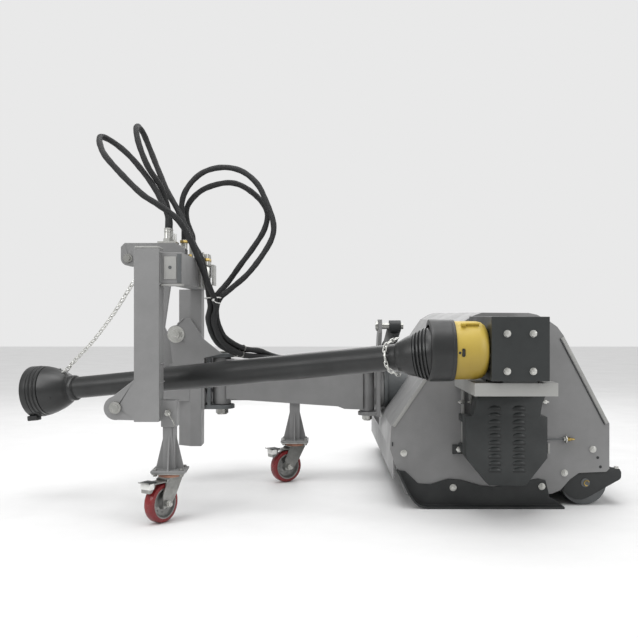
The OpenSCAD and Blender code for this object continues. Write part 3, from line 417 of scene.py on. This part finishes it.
# %% Hose sleeve
THREADS_AROUND, THREAD_PITCH = 16, 0.0042
sleeve, tree, shader, place = start_finish("woven_sleeve", 0.62)
flat = node(tree, "ShaderNodeUVMap")
across = node(tree, "ShaderNodeSeparateXYZ", {"Vector": flat.outputs["UV"]})
around = node(tree, "ShaderNodeMath", {0: across.outputs["X"], 1: THREADS_AROUND * math.tau},
              operation="MULTIPLY")
along = node(tree, "ShaderNodeMath", {0: across.outputs["Y"], 1: math.tau / THREAD_PITCH},
             operation="MULTIPLY")
one_way = node(tree, "ShaderNodeMath", {0: around.outputs[0], 1: along.outputs[0]}, operation="ADD")
other_way = node(tree, "ShaderNodeMath", {0: around.outputs[0], 1: along.outputs[0]},
                 operation="SUBTRACT")
warp = node(tree, "ShaderNodeMath", {0: one_way.outputs[0]}, operation="SINE")
weft = node(tree, "ShaderNodeMath", {0: other_way.outputs[0]}, operation="SINE")
threads = node(tree, "ShaderNodeMath", {0: warp.outputs[0], 1: weft.outputs[0]},
               operation="MULTIPLY")
height = node(tree, "ShaderNodeMapRange", {"Value": threads.outputs[0], "From Min": -1,
                                           "From Max": 1, "To Min": 0, "To Max": 1})
lumps = node(tree, "ShaderNodeTexNoise", {"Vector": place, "Scale": 45, "Detail": 4})
tone = node(tree, "ShaderNodeValToRGB", {"Fac": height.outputs[0]})
two_tones(tone, "#0f1011", "#2a2b2c")
tree.links.new(tone.outputs["Color"], shader.inputs["Base Color"])
both = node(tree, "ShaderNodeMath", {0: height.outputs[0], 1: lumps.outputs["Fac"]},
            operation="ADD")
add_bump(tree, shader, both.outputs[0], 0.7, 0.0012)
print("sleeve finish ready")

# %% [markdown]
# ## Finishes on the CAD parts
# A CAD part whose shape is right stays, and only its material changes. A narrow bevel on the
# bigger steel parts catches the light along their edges, as a cut and painted edge does. The
# bevel is a modifier, so the part's own mesh stays as it came.

# %% Give each CAD part its finish
FINISH = {
    machine_paint: "headstock_frame top_link_plates near_leg carrier parallel_link deck_hood",
    plate_paint: "near_end_plate far_end_plate front_flap",
    arm_paint: "arm_beam",
    shelf_paint: "gearbox_shelf",
    dark_paint: "pivot_fork tilt_tube tilt_shaft rotor rear_roller rotor_bearings",
    black_paint: "skids roller_brackets shift_barrel tilt_barrel",
    guard_paint: "belt_guard gearbox_guard",
    bright_steel: "top_link_pin hitch_pins pivot_pins outer_pivot_pin flail_row_1 flail_row_2 "
                  "flail_row_3 flail_row_4 input_shaft output_shaft pto_rear_shaft "
                  "pto_front_shaft pto_cross",
    zinc: "lynch_pins breakaway_bolt hose_bracket near_lock_pin",
    rough_casting: "gearbox_casing lower_pulley",
    bronze: "arm_bushes",
    castor_zinc: "near_castor_plate far_castor_plate near_fork far_fork near_pedal far_pedal",
    red_tyre: "near_wheel far_wheel",
    tube_plastic: "pto_rear_guard pto_front_guard",
    black_rubber_and_painted_shade: "drive_belts",
    yellow_guard: "yellow_guard",
    hard_chrome: "shift_rod tilt_rod",
    sleeve: "hoses",
}
for finish, names in FINISH.items():
    for name in names.split():
        slots = nodes[name].data.materials
        slots.clear()
        slots.append(finish)
print("dressed", sum(len(names.split()) for names in FINISH.values()), "CAD parts")

# %% Soften the edges of the bigger steel parts
BEVELLED = {"headstock_frame": 2.0, "top_link_plates": 1.5, "near_leg": 1.2, "arm_beam": 2.0,
            "carrier": 1.5, "gearbox_shelf": 2.0, "gearbox_guard": 1.6, "pivot_fork": 1.5,
            "near_fork": 0.8, "far_fork": 0.8, "near_castor_plate": 0.8, "far_castor_plate": 0.8,
            "tilt_tube": 1.5, "near_pedal": 0.8, "far_pedal": 0.8, "hose_bracket": 0.8,
            "breakaway_bolt": 1.0, "roller_brackets": 1.2, "skids": 1.2, "near_end_plate": 1.0,
            "far_end_plate": 1.0, "pivot_pins": 1.0, "hitch_pins": 1.0, "top_link_pin": 0.8}
for name, width in BEVELLED.items():
    join = nodes[name].modifiers.new("join", "WELD")
    join.merge_threshold = 1e-5
    edge = nodes[name].modifiers.new("edge", "BEVEL")
    edge.width = width * MM
    edge.segments = 2
    edge.limit_method = "ANGLE"
    edge.angle_limit = math.radians(40)
    edge.use_clamp_overlap = True
    edge.harden_normals = False
print("bevelled", len(BEVELLED))

# %% [markdown]
# ## Hoses
# Four hydraulic hoses stand up from their couplers on the headstock, loop over the tractor's
# side, drop in one bundle behind the post and run into a small bulkhead over the arm's pivot.
# They are stiff and springy, so their loops are wide. Each follows the route that the CAD model
# uses, rounded by the sweep, and its sleeve bulges a little at uneven spots.

# %% Hose routes in millimetres
HOSE_ROUTES = {
    "hose_a": [(-541, 94, 960), (-541, 94, 1015), (-562, 92, 1068), (-603, 92, 1140),
               (-670, 92, 1224), (-730, 84, 1276), (-768, 46, 1290), (-752, -20, 1244),
               (-713, -60, 1187), (-612, -50, 1082), (-550, -30, 1040), (-492, 0, 996),
               (-456, 26, 936), (-428, 52, 866), (-406, 88, 800), (-376, 150, 700),
               (-388, 190, 639), (-364, 260, 559), (-300, 348, 511), (-244, 388, 500),
               (-203, 410, 494), (-168, 419, 489.5), (-138.3, 421, 489)],
    "hose_b": [(-541, 134, 960), (-541, 134, 1010), (-548, 128, 1050), (-568, 110, 1122),
               (-606, 74, 1186), (-634, 64, 1256), (-652, 86, 1318), (-655, 130, 1345),
               (-644, 172, 1328), (-622, 190, 1270), (-592, 180, 1198), (-556, 160, 1118),
               (-515, 140, 1048), (-480, 124, 980), (-450, 116, 915), (-422, 116, 860),
               (-410, 126, 800), (-398, 164, 700), (-410, 204, 639), (-386, 274, 559),
               (-322, 362, 512), (-266, 408, 500), (-222, 446, 494), (-178, 464, 489.5),
               (-138.3, 467, 489)],
    "hose_c": [(-496, 180, 925), (-496, 180, 975), (-505, 180, 1066), (-484, 180, 1130),
               (-430, 178, 1184), (-357, 174, 1204), (-284, 170, 1190), (-226, 166, 1142),
               (-192, 164, 1074), (-168, 162, 1006), (-170, 162, 950), (-204, 164, 886),
               (-262, 170, 812), (-325, 178, 758), (-364, 170, 722), (-380, 200, 662),
               (-358, 270, 581), (-294, 358, 533), (-238, 392, 523), (-205, 430, 508),
               (-170, 442, 495), (-138.3, 444, 489.5)],
    "hose_d": [(-470, 212, 925), (-470, 212, 955), (-492, 211, 1020), (-484, 208, 1074),
               (-433, 204, 1125), (-357, 200, 1150), (-300, 198, 1146), (-245, 196, 1114),
               (-204, 194, 1070), (-190, 192, 1030), (-204, 192, 973), (-245, 194, 908),
               (-290, 198, 848), (-338, 214, 784), (-386, 186, 722), (-402, 214, 662),
               (-380, 284, 581), (-316, 372, 534), (-260, 416, 523), (-226, 470, 511),
               (-182, 487.5, 491.5), (-138.3, 490, 489)],
}
HOSE_RADIUS = 10.5
for name, route in HOSE_ROUTES.items():
    line = smooth_line(route, 9)
    bm = bmesh.new()
    long = add_tube(bm, line, HOSE_RADIUS, 14,
                    wave=lambda i, s: 1 + 0.035 * math.sin(s / 13) + 0.025 * math.sin(s / 5.1 + 1))
    piece(name, bm, sleeve, "headstock", ("hoses",))
    print(name, round(long), "mm long")

# %% [markdown]
# Each hose starts in a crimped ferrule on its coupler. A white nylon tie holds the bundle behind
# the post, and thin steel rings sit on the hoses over the arm. The ferrules are turned steel with
# a crimped waist, which is why their outline steps in and out.

# %% Ferrules, tie and rings
FERRULE = [(-4, 4), (-4, 12.2), (1, 13), (4, 13), (5.5, 12), (7, 12), (8.5, 13), (12, 13),
           (13, 12.2), (13, 10.9), (0, 10.9), (0, 4)]
bm = bmesh.new()
for route in HOSE_ROUTES.values():
    add_turned(bm, FERRULE, route[0], (0, 0, 1), 32)
piece("ferrules", bm, zinc, "headstock")

bm = bmesh.new()
tie_centre, tie_wide, tie_deep = (-388, 166, 724), 30, 37
ring = [(tie_centre[0] + tie_wide * math.cos(a), tie_centre[1] + tie_deep * math.sin(a),
         tie_centre[2] + 2 * math.cos(a + 1)) for a in [k * math.tau / 28 for k in range(28)]]
add_tube(bm, [Vector(p) for p in ring], 2.2, 6, closed=True)
add_round(bm, (-384, 131, 716), (0.3, -0.8, 0.2), 4.5, 9, 6)
add_tube(bm, smooth_line([(-384, 129, 718), (-372, 116, 708), (-352, 108, 704)], 6), 1.5, 6)
piece("cable_tie", bm, cap_plastic, "headstock")

bm = bmesh.new()
for x, y, z in ((-300, 348, 511), (-322, 362, 512), (-294, 358, 533), (-316, 372, 534)):
    turn = turn_to((0.62, 0.74, -0.25))
    for step in (-1.8, 1.8):
        loop = [Vector((x, y, z)) + turn @ Vector((12.4 * math.cos(a), 12.4 * math.sin(a), step))
                for a in [k * math.tau / 20 for k in range(20)]]
        add_tube(bm, loop, 1.3, 6, closed=True)
piece("hose_rings", bm, bright_steel, "headstock")
print("hose fittings made")

# %% [markdown]
# ## Shaft guards
# The PTO shaft turns inside two plastic tubes, one sliding in the other. Each tube ends in a
# flexible ribbed cone that covers a universal joint. A spun outline gives the tube, the ribs and
# the hollow inside in one step, so that the wall is a real wall when you look into the cone. The
# rear cone runs into a wider collar, which is a piece of its own and meets the yellow guard.

# %% Ribbed guards
JOINT = (480, -320, 556)
SHAFT = (-0.953212, 0.282354, -0.107999)
BELL_MOUTH = (413, -320, 554)


def on_shaft(far, up=0.0, side=0.0):
    """A point at a distance along the shaft, then upwards and to its near side."""
    out = Vector(SHAFT)
    near = Vector((-out.y, out.x, 0)).normalized()
    top = near.cross(out).normalized()
    return Vector(JOINT) + out * far + (top if top.z > 0 else -top) * up + near * side


rear_guard = [(112, 78), (112, 82), (134, 84)]
for low, high, r in ((138, 146, 86), (150, 158, 82), (162, 170, 77), (174, 182, 72)):
    rear_guard += [(low, r - 4), (low + 1.4, r), (high - 1.6, r - 1), (high, r - 6)]
rear_guard += [(184, 68), (200, 63.5), (212, 59), (224, 53), (232, 49), (239, 47.5), (243, 44),
               (246, 42), (1086, 42), (1090, 41), (1090, 38.5), (242, 38.5), (242, 20.3),
               (230, 20.3), (222, 38), (184, 56), (146, 66)]
front_guard = [(700, 34), (700, 38), (1404, 38), (1406, 43), (1409, 45), (1424, 45), (1428, 43),
               (1431, 45), (1434, 50), (1440, 55), (1452, 62), (1466, 69), (1484, 76), (1502, 82),
               (1516, 85.5)]
for low, high, r in ((1519, 1530, 87), (1533, 1544, 89), (1547, 1558, 91)):
    front_guard += [(low, r - 3.5), (low + 1.6, r), (high - 1.6, r), (high, r - 3.5)]
front_guard += [(1561, 91), (1580, 92), (1583, 91), (1583, 88), (1520, 80), (1484, 70),
                (1456, 58), (1446, 26.3), (1436, 26.3), (1430, 34)]
COLLAR = [(0, 90), (0, 94.5), (2, 96), (8, 96), (9, 95.2), (11, 95.2), (12, 96), (66, 96.6),
          (72, 96.4), (75, 95), (76, 92), (76, 80), (72, 80), (70, 88), (4, 90)]
for name, outline, body, node_name in (
        ("rear_shaft_guard", rear_guard, "pto_rear", "pto_rear_guard"),
        ("front_shaft_guard", front_guard, "pto_front", "pto_front_guard")):
    bm = bmesh.new()
    add_turned(bm, outline, JOINT, SHAFT, 72)
    piece(name, bm, tube_plastic, body, (node_name,))
    print(name, len(outline), "points in its outline")

# %% Collar, tabs and screws of the cones
bm = bmesh.new()
add_turned(bm, COLLAR, BELL_MOUTH, (-1, 0, 0), 72)
piece("rear_collar", bm, tube_plastic, "pto_rear")
bm = bmesh.new()
turn = turn_to(SHAFT) @ Matrix.Rotation(math.pi / 2, 4, "Y")
add_block_about(bm, on_shaft(1572, -92, 30), (20, 9, 15), 3, turn)
for k in range(3):
    a = k * math.tau / 3 - 0.35
    place = on_shaft(1476, 72 * math.sin(a), 72 * math.cos(a))
    add_round(bm, place, place - on_shaft(1476), 4, 2.5, 12)
piece("front_cone_tabs", bm, cone_plastic, "pto_front")
bm = bmesh.new()
for k in range(3):
    a = k * math.tau / 3 - 0.13
    place = on_shaft(206, 60 * math.sin(a), 60 * math.cos(a))
    add_round(bm, place, place - on_shaft(206), 4.5, 2.6, 12)
piece("rear_cone_screws", bm, black_rubber_and_painted_shade, "pto_rear")
print("cone details made")

# %% [markdown]
# Two light chains keep the plastic guards from turning with the shaft. A chain is one link swept
# round a stadium line and repeated, each turned a quarter from the one before.

# %% Chains


def add_chain(bm, points, pitch=19, wire=2.1, wide=6.2):
    line = smooth_line(points, 2)
    gone, targets, k = 0, [], 0
    for a, b in zip(line, line[1:]):
        gone += (b - a).length
        if gone >= k * pitch:
            targets.append((b, (b - a).normalized()))
            k += 1
    half = pitch / 2 - wide + 2.6
    for k, (centre, along) in enumerate(targets):
        turn = turn_to(along) @ Matrix.Rotation(math.pi / 2 * (k % 2), 4, "Z")
        loop = []
        for end in (1, -1):
            for j in range(6):
                a = math.pi * j / 5 + (0 if end == 1 else math.pi)
                flat = Vector((wide * math.cos(a), 0, end * half + wide * math.sin(a)))
                loop.append(centre + turn.to_3x3() @ flat)
        add_tube(bm, loop, wire, 6, closed=True)
    return len(targets)


bm = bmesh.new()
links = add_chain(bm, [on_shaft(1452, 62, 8), on_shaft(1436, 70, 0), (-860, 40, 500),
                       (-770, -40, 576), (-680, -130, 668), (-594, -214, 772)])
add_round(bm, (-588, -214, 774), (-1, 0, 0), 7, 8, 12)
piece("front_chain", bm, chain_zinc, "pto_front")
bm = bmesh.new()
links += add_chain(bm, [on_shaft(238, 58, 8), on_shaft(262, 46, 34), on_shaft(272, 30, 42),
                        on_shaft(272, 0, 50), on_shaft(268, -30, 44), on_shaft(252, -48, 30),
                        on_shaft(238, -56, 12)], 15, 2, 5.4)
piece("rear_chain", bm, chain_zinc, "pto_rear")
print("chain links", links)

# %% [markdown]
# ## Castor wheels
# Each wheel is a red polyurethane tyre cast on a grey core with a raised rim and a bearing hub.
# Both are spun outlines round the axle, a running clearance away from it.

# %% Wheels
TYRE = [(-17.5, 49), (-18, 56), (-16.5, 60), (-12, 62.2), (-4, 62.5), (4, 62.5), (12, 62.2),
        (16.5, 60), (18, 56), (17.5, 49)]
CORE = [(-20, 6.05), (-20, 10), (-19, 16.5), (-12, 18.5), (-7, 21), (-6, 26), (-6, 38),
        (-9, 42), (-15, 44), (-17.8, 45.5), (-17.8, 49.4), (17.8, 49.4), (17.8, 45.5), (15, 44),
        (9, 42), (6, 38), (6, 26), (7, 21), (12, 18.5), (19, 16.5), (20, 10), (20, 6.05)]
CASTORS = {"near": (-483, -190, 58), "far": (-97, 459, 33.6)}


def on_castor(which, x, y, z):
    """A place in a castor's own drawing, which trails along minus X from its swivel."""
    cx, cy, yaw = CASTORS[which]
    c, s = math.cos(math.radians(yaw)), math.sin(math.radians(yaw))
    return (cx + x * c - y * s, cy + x * s + y * c, z)


for which, (cx, cy, yaw) in CASTORS.items():
    hub = on_castor(which, -42, 0, 62.5)
    axle = (-math.sin(math.radians(yaw)), math.cos(math.radians(yaw)), 0)
    bm = bmesh.new()
    add_turned(bm, TYRE, hub, axle, 64)
    piece(f"{which}_tyre", bm, red_tyre, f"{which}_roll", (f"{which}_wheel",))
    bm = bmesh.new()
    add_turned(bm, CORE, hub, axle, 64)
    for k in range(8):
        a = k * math.tau / 8
        for side in (-1, 1):
            up = Vector((0, 0, 1))
            spot = Vector(hub) + Vector(axle) * side * 5.6 + 30 * (
                up * math.cos(a) + Vector(axle).cross(up) * math.sin(a))
            add_round(bm, spot, Vector(axle) * side, 3.4, 2.2, 10, bevel=0.3)
    piece(f"{which}_core", bm, hub_grey, f"{which}_roll")
    print(which, "wheel at", [round(c) for c in hub])

# %% Swivel races, pedal blocks and castor bolts
for which, (cx, cy, yaw) in CASTORS.items():
    body = f"{which}_swivel"
    bm = bmesh.new()
    add_turned(bm, [(0, 30), (0, 37.5), (3, 38.5), (7, 38.5), (9.4, 36.5), (9.4, 30)],
               (cx, cy, 142.1), (0, 0, 1), 48)
    piece(f"{which}_race", bm, seal_plastic, body)
    bm = bmesh.new()
    add_bolt(bm, on_castor(which, -42, -32.8, 62.5), (math.sin(math.radians(yaw)),
                                                      -math.cos(math.radians(yaw)), 0), 17, 7, 11)
    piece(f"{which}_axle_head", bm, zinc, body)
    bm = bmesh.new()
    turn = Matrix.Rotation(math.radians(yaw), 4, "Z")
    add_block_about(bm, on_castor(which, -100, 0, 136.5), (19, 21, 1.8), 1.5, turn)
    piece(f"{which}_pedal_pad", bm, black_paint, f"{which}_brake")
    bm = bmesh.new()
    add_block_about(bm, on_castor(which, -105, 0, 125), (10.5, 20.5, 10), 2.5, turn)
    piece(f"{which}_pedal_block", bm, cap_plastic, f"{which}_brake")
print("castors finished")

# %% [markdown]
# ## Louvres
# The belt guard is a shallow tray on four legs, and breathes through two columns of louvres. A
# press cuts one long edge of each and pushes the sheet outwards, so a louvre is a low dome with
# a flat bottom. A dark strip under each one is painted shadow in its opening.

# %% Belt guard tray and its louvres
TRAY = [(518, 404), (738, 404), (727, 379), (721, 352), (719, 334), (742, 331), (742, 198),
        (672, 109), (552, 109), (479, 198), (479, 331), (501, 334), (506, 352), (511, 377)]
bm = bmesh.new()
add_prism(bm, TRAY, -186, -106)
for x0, x1 in ((484, 500), (722, 738)):
    add_block(bm, (x0, -107, 196), (x1, 0, 222), 1)
    add_block(bm, (x0, -107, 300), (x1, 0, 322), 1)
piece("belt_guard_tray", bm, guard_paint, "deck", ("belt_guard",))
LOUVRE_ROWS, LOUVRE_LOW, LOUVRE_STEP, GUARD_FACE = 10, 156, 22.3, -186
LOUVRE_COLUMNS = (549, 628)
bm = bmesh.new()
for left in LOUVRE_COLUMNS:
    for row in range(LOUVRE_ROWS):
        low = LOUVRE_LOW + LOUVRE_STEP * row
        swell = (Matrix.Translation(at(left + 22, GUARD_FACE, low))
                 @ Matrix.Diagonal((21, 6, 12, 1)))
        dome = bmesh.ops.create_uvsphere(bm, u_segments=20, v_segments=12, radius=MM,
                                         matrix=swell)
        for cut, away in ((at(0, GUARD_FACE, 0), (0, 1, 0)), (at(0, 0, low), (0, 0, -1))):
            inner = [v for v in dome["verts"] if v.is_valid]
            parts = inner + list({e for v in inner for e in v.link_edges}) + list(
                {f for v in inner for f in v.link_faces})
            kept = bmesh.ops.bisect_plane(bm, geom=parts, dist=1e-7, plane_co=cut, plane_no=away,
                                          clear_outer=True)["geom"]
            dome["verts"] = [g for g in kept if isinstance(g, bmesh.types.BMVert)]
piece("louvres", bm, guard_paint, "deck")
bm = bmesh.new()
for left in LOUVRE_COLUMNS:
    for row in range(LOUVRE_ROWS):
        low = LOUVRE_LOW + LOUVRE_STEP * row
        add_block(bm, (left + 2, GUARD_FACE - 0.5, low - 5),
                  (left + 42, GUARD_FACE + 1, low + 4), 0)
piece("louvre_shadows", bm, black_rubber_and_painted_shade, "deck")
print("louvres", 2 * LOUVRE_ROWS)

# %% [markdown]
# ## Bolts
# The photograph shows zinc bolts with washers on the guard box, the deck's near plate, the
# skid, the roller bracket and the castors. One helper makes them all, and those on the deck are
# one piece, together with the three wing studs over the near plate.

# %% Bolts on the deck
DECK_BOLTS = [(293.6, -0.2, 183.6), (949, -0.2, 197.4), (850.5, -0.2, 115.2)]
SKID_BOLTS = [(463.4, -8.2, 66), (770, -8.2, 70)]
BOX_BOLTS = [(x, -400.2, z) for x in (564, 642) for z in (494, 607)]
bm = bmesh.new()
for place in BOX_BOLTS:
    add_bolt(bm, place, (0, -1, 0), 17, 9, 11)
for place in DECK_BOLTS + SKID_BOLTS:
    add_bolt(bm, place, (0, -1, 0), 17, 7, 12)
add_bolt(bm, (484, -9.2, 198), (0, -1, 0), 15, 5, 10)
for x, z, foot, outer, inner in ((490, 363, -13, -21, -17), (524, 363, -13, -21, -17),
                                 (784, 361.5, -0.2, -8, -4)):
    add_round(bm, (x, foot, z), (0, -1, 0), 7, 6, 16)
    add_block(bm, (x - 12, outer, z - 2.5), (x + 12, inner, z + 2.5), 1.5)
piece("deck_bolts", bm, zinc, "deck")
print("deck bolts", len(DECK_BOLTS + SKID_BOLTS + BOX_BOLTS))

# %% Strips, clips and edge bands of the near end plate


def add_band(bm, a, b, inside, wide, proud):
    """A flat band along a slope of the near end plate, on its outer face."""
    a, b = Vector((a[0], 0, a[1])), Vector((b[0], 0, b[1]))
    along = (b - a).normalized()
    inward = Vector((inside[0], 0, inside[1])).normalized()
    centre = (a + b) / 2 + inward * wide / 2
    turn = Matrix.Rotation(math.atan2(-along.z, along.x), 4, "Y")
    half = ((b - a).length / 2, proud / 2, wide / 2)
    centre.y = -proud / 2
    add_block_about(bm, centre, half, 0.8, turn)


bm = bmesh.new()
add_band(bm, (253, 280), (498, 638), (0.82, -0.57), 12, 2.4)
add_band(bm, (849, 588), (1004, 289), (-0.88, -0.46), 12, 2.4)
add_block(bm, (493, -13, 215), (502, -0.2, 436), 1)
add_block(bm, (518, -13, 370), (528, -0.2, 436), 1)
add_block(bm, (791, -9, 184), (798, -0.2, 219), 1)
piece("plate_strips", bm, shelf_paint, "deck")
bm = bmesh.new()
add_band(bm, (836, 582), (991, 283), (-0.88, -0.46), 3, 2.8)
add_block(bm, (461, -9, 182), (508, -0.2, 214), 1.5)
for x, z in ((966, 168.3), (975.3, 136.4)):
    add_round(bm, (x, -0.2, z), (0, -1, 0), 5, 0.8, 16, bevel=0.2)
add_block(bm, (252.5, -3, 208), (256.5, 0.5, 222), 0.5)
piece("dark_marks", bm, black_paint, "deck")
bm = bmesh.new()
add_tube(bm, smooth_line([(742, -8, 233), (790, -8, 233), (856, -8, 233)], 8), 2.6, 10)
piece("grease_pipe", bm, dark_paint, "deck")
bm = bmesh.new()
add_round(bm, (858, -8, 233), (1, 0, 0), 7, 10, 6, bevel=0.8)
add_round(bm, (868, -8, 233), (1, 0, 0), 5, 16, 14, top=2.8)
ring = [Vector((929 + 9 * math.cos(0.4 + 0.33 * k), 3, 79 + 9 * math.sin(0.4 + 0.33 * k)))
        for k in range(15)]
add_tube(bm, ring, 2.2, 8)
piece("deck_brass", bm, brass, "deck")
bm = bmesh.new()
add_round(bm, (846, -8, 233), (1, 0, 0), 8, 5, 6, bevel=0.8)
add_round(bm, (852, -8, 233), (1, 0, 0), 13, 4, 24)
add_round(bm, (1034, 10, 129), (0, 0, 1), 8, 7, 6, bevel=0.8)
piece("deck_nuts", bm, zinc, "deck")
print("end plate details made")

# %% Roller, its brackets and the yellow bell
DECK_LENGTH, ROLLER_X, ROLLER_Z = 1250, 925, 80
BRACKET = [(847, 53), (858, 100), (880, 168), (998, 168), (1008, 134), (1036, 131), (1045, 127),
           (1050, 117), (1050, 99), (1046, 92), (1036, 86), (996, 64), (956, 41), (933, 28),
           (912, 21), (890, 22), (870, 31)]
bm = bmesh.new()
for y in (6.5, DECK_LENGTH - 14.5):
    add_prism(bm, BRACKET, y, y + 8)
add_round(bm, (1030, 14, 108), (0, 1, 0), 16, DECK_LENGTH - 28, 32)
piece("roller_plates", bm, black_paint, "deck", ("roller_brackets",))
ends = DECK_LENGTH - 8
DRUM = [(0, 0), (0, 15), (20, 15), (20, 76), (22, 80), (ends - 22, 80), (ends - 20, 76),
        (ends - 20, 15), (ends, 15), (ends, 0)]
bm = bmesh.new()
add_turned(bm, DRUM, (ROLLER_X, 4, ROLLER_Z), (0, 1, 0), 72)
piece("roller_drum", bm, dark_paint, "roller", ("rear_roller",))
BELL = [(0, 87), (0, 90), (69, 90), (84, 87), (95, 79), (101, 67), (104, 60), (104, 40), (101, 40),
        (98, 60), (91, 74), (82, 83), (68, 87)]
bm = bmesh.new()
add_turned(bm, BELL, BELL_MOUTH, (1, 0, 0), 72)
latch = Matrix.Rotation(math.radians(-30), 4, "X")
for place, half in (((458, -368, 634), (28, 9, 2.5)), ((437, -374, 631), (7, 14, 3))):
    add_block_about(bm, place, half, 2, latch)
piece("yellow_bell", bm, yellow_guard, "deck", ("yellow_guard",))
# Painted shade: dark marks for a slot and a hole in the yellow bell, and a dark ring across its
# inside just past the mouth.
bm = bmesh.new()
add_block(bm, (427, -411, 538), (437, -408, 563), 4)
add_round(bm, (421, -408, 550), (0, -1, 0), 4, 2.6, 16)
add_turned(bm, [(0, 45), (0, 86.6), (3, 86.6), (3, 45)], (426, -320, 554), (1, 0, 0), 48)
piece("yellow_bell_painted_shade", bm, black_rubber_and_painted_shade, "deck")
print("guard details made")

# %% [markdown]
# ## Welds and small fittings of the headstock
# A weld bead is a row of overlapping ripples. The sweep makes it from a line with a radius that
# rises and falls every few millimetres. The beads sit where the photograph shows plates meeting
# the post, and where any fabricated frame would have them.

# %% Weld beads
RIPPLE = 5


def add_weld(bm, points, radius=3.2):
    line = smooth_line(points, 2.5)
    add_tube(bm, line, radius, 8,
             wave=lambda i, s: 1 + 0.16 * math.sin(s * math.tau / RIPPLE))


print("weld helper ready")

# %% Beads of the headstock
bm = bmesh.new()
for z in (763, 863):
    add_weld(bm, [(-507, -246, z), (-507, -172, z)])
add_weld(bm, [(-507.5, -229, 765), (-507.5, -229, 861)])
add_weld(bm, [(-529, 383, 651), (-554, 383, 626)])
add_weld(bm, [(-462, 384, 508), (-462, 398, 508)])
for z in (446, 506):
    add_weld(bm, [(-507.5, -232, z), (-507.5, -166, z)], 2.6)
add_weld(bm, [(-586, 100, 863), (-512, 100, 863)])
for x in (-451, -508):
    add_weld(bm, [(x, 399, 494), (x, 519, 494)])
piece("headstock_welds", bm, machine_paint, "headstock")
print("headstock beads made")

# %% Post cap, crossbeam plate and small fittings
bm = bmesh.new()
add_block(bm, (-587, -247, 875.2), (-509, -169, 882), 3)
add_block(bm, (-496, -231.5, 777), (-456, -228.2, 850), 1.4)
add_block(bm, (-506, -232, 755.5), (-437, -190, 762.6), 1)
piece("post_cap", bm, shelf_paint, "headstock")
bm = bmesh.new()
add_round(bm, (-476, -231.6, 815), (0, -1, 0), 5.5, 0.8, 20, bevel=0.2)
add_block(bm, (-454, -230, 766), (-440, -228.2, 858), 0.5)
piece("beam_marks", bm, dark_paint, "headstock")
bm = bmesh.new()
add_round(bm, (-518, 114, 925.3), (0, 0, 1), 6, 30, 20, bevel=1.5)
piece("coupler_cap", bm, cap_plastic, "headstock")
bm = bmesh.new()
add_round(bm, (-496, 180, 926), (0, 0, 1), 16, 11, 6, bevel=1)
add_round(bm, (-476, 188, 864), (0, 0, 1), 8, 22, 6, bevel=1)
for y in (165, 190, 215):
    add_round(bm, (-412, y, 858), (0, 0, 1), 13, 12, 6, bevel=1)
piece("brass_fittings", bm, brass, "headstock")
bm = bmesh.new()
for y in (165, 190, 215):
    add_round(bm, (-412, y, 800), (0, 0, 1), 14, 39.7, 6, bevel=1.2)
    add_round(bm, (-412, y, 784), (0, 0, 1), 9, 17, 16)
for x in (-433, -421.5):
    add_tube(bm, smooth_line([(x, 145, 890), (x, 145, 760)], 20), 3.6, 12)
piece("zinc_fittings", bm, zinc, "headstock")
print("small fittings made")

# %% Lock pin knob with its wire
bm = bmesh.new()
add_round(bm, (-483, -228, 350), (0, -1, 0), 10, 9, 24, bevel=1.5)
add_tube(bm, smooth_line([(-483, -232, 350), (-476, -240, 342), (-464, -240, 322),
                          (-462, -236, 312), (-468, -230, 306)], 5), 2.2, 8)
piece("lock_pin_knob", bm, bright_steel, "near_lock")
print("lock pin finished")

# %% [markdown]
# ## Ground
# The machine stands on a plain pale floor that belongs to the stage and not to the part.

# %% Floor
bm = bmesh.new()
bmesh.ops.create_grid(bm, x_segments=1, y_segments=1, size=14)
ground = bpy.data.meshes.new("floor")
bm.to_mesh(ground)
bm.free()
floor = bpy.data.objects.new("floor", ground)
scene.collection.objects.link(floor)
floor.location.z = -0.0005
floor_finish = blotchy("studio_floor", "#dcdcdc", "#e2e2e2", 0.7, 3, grain=60, strength=0.05)
ground.materials.append(floor_finish)
print("floor ready")
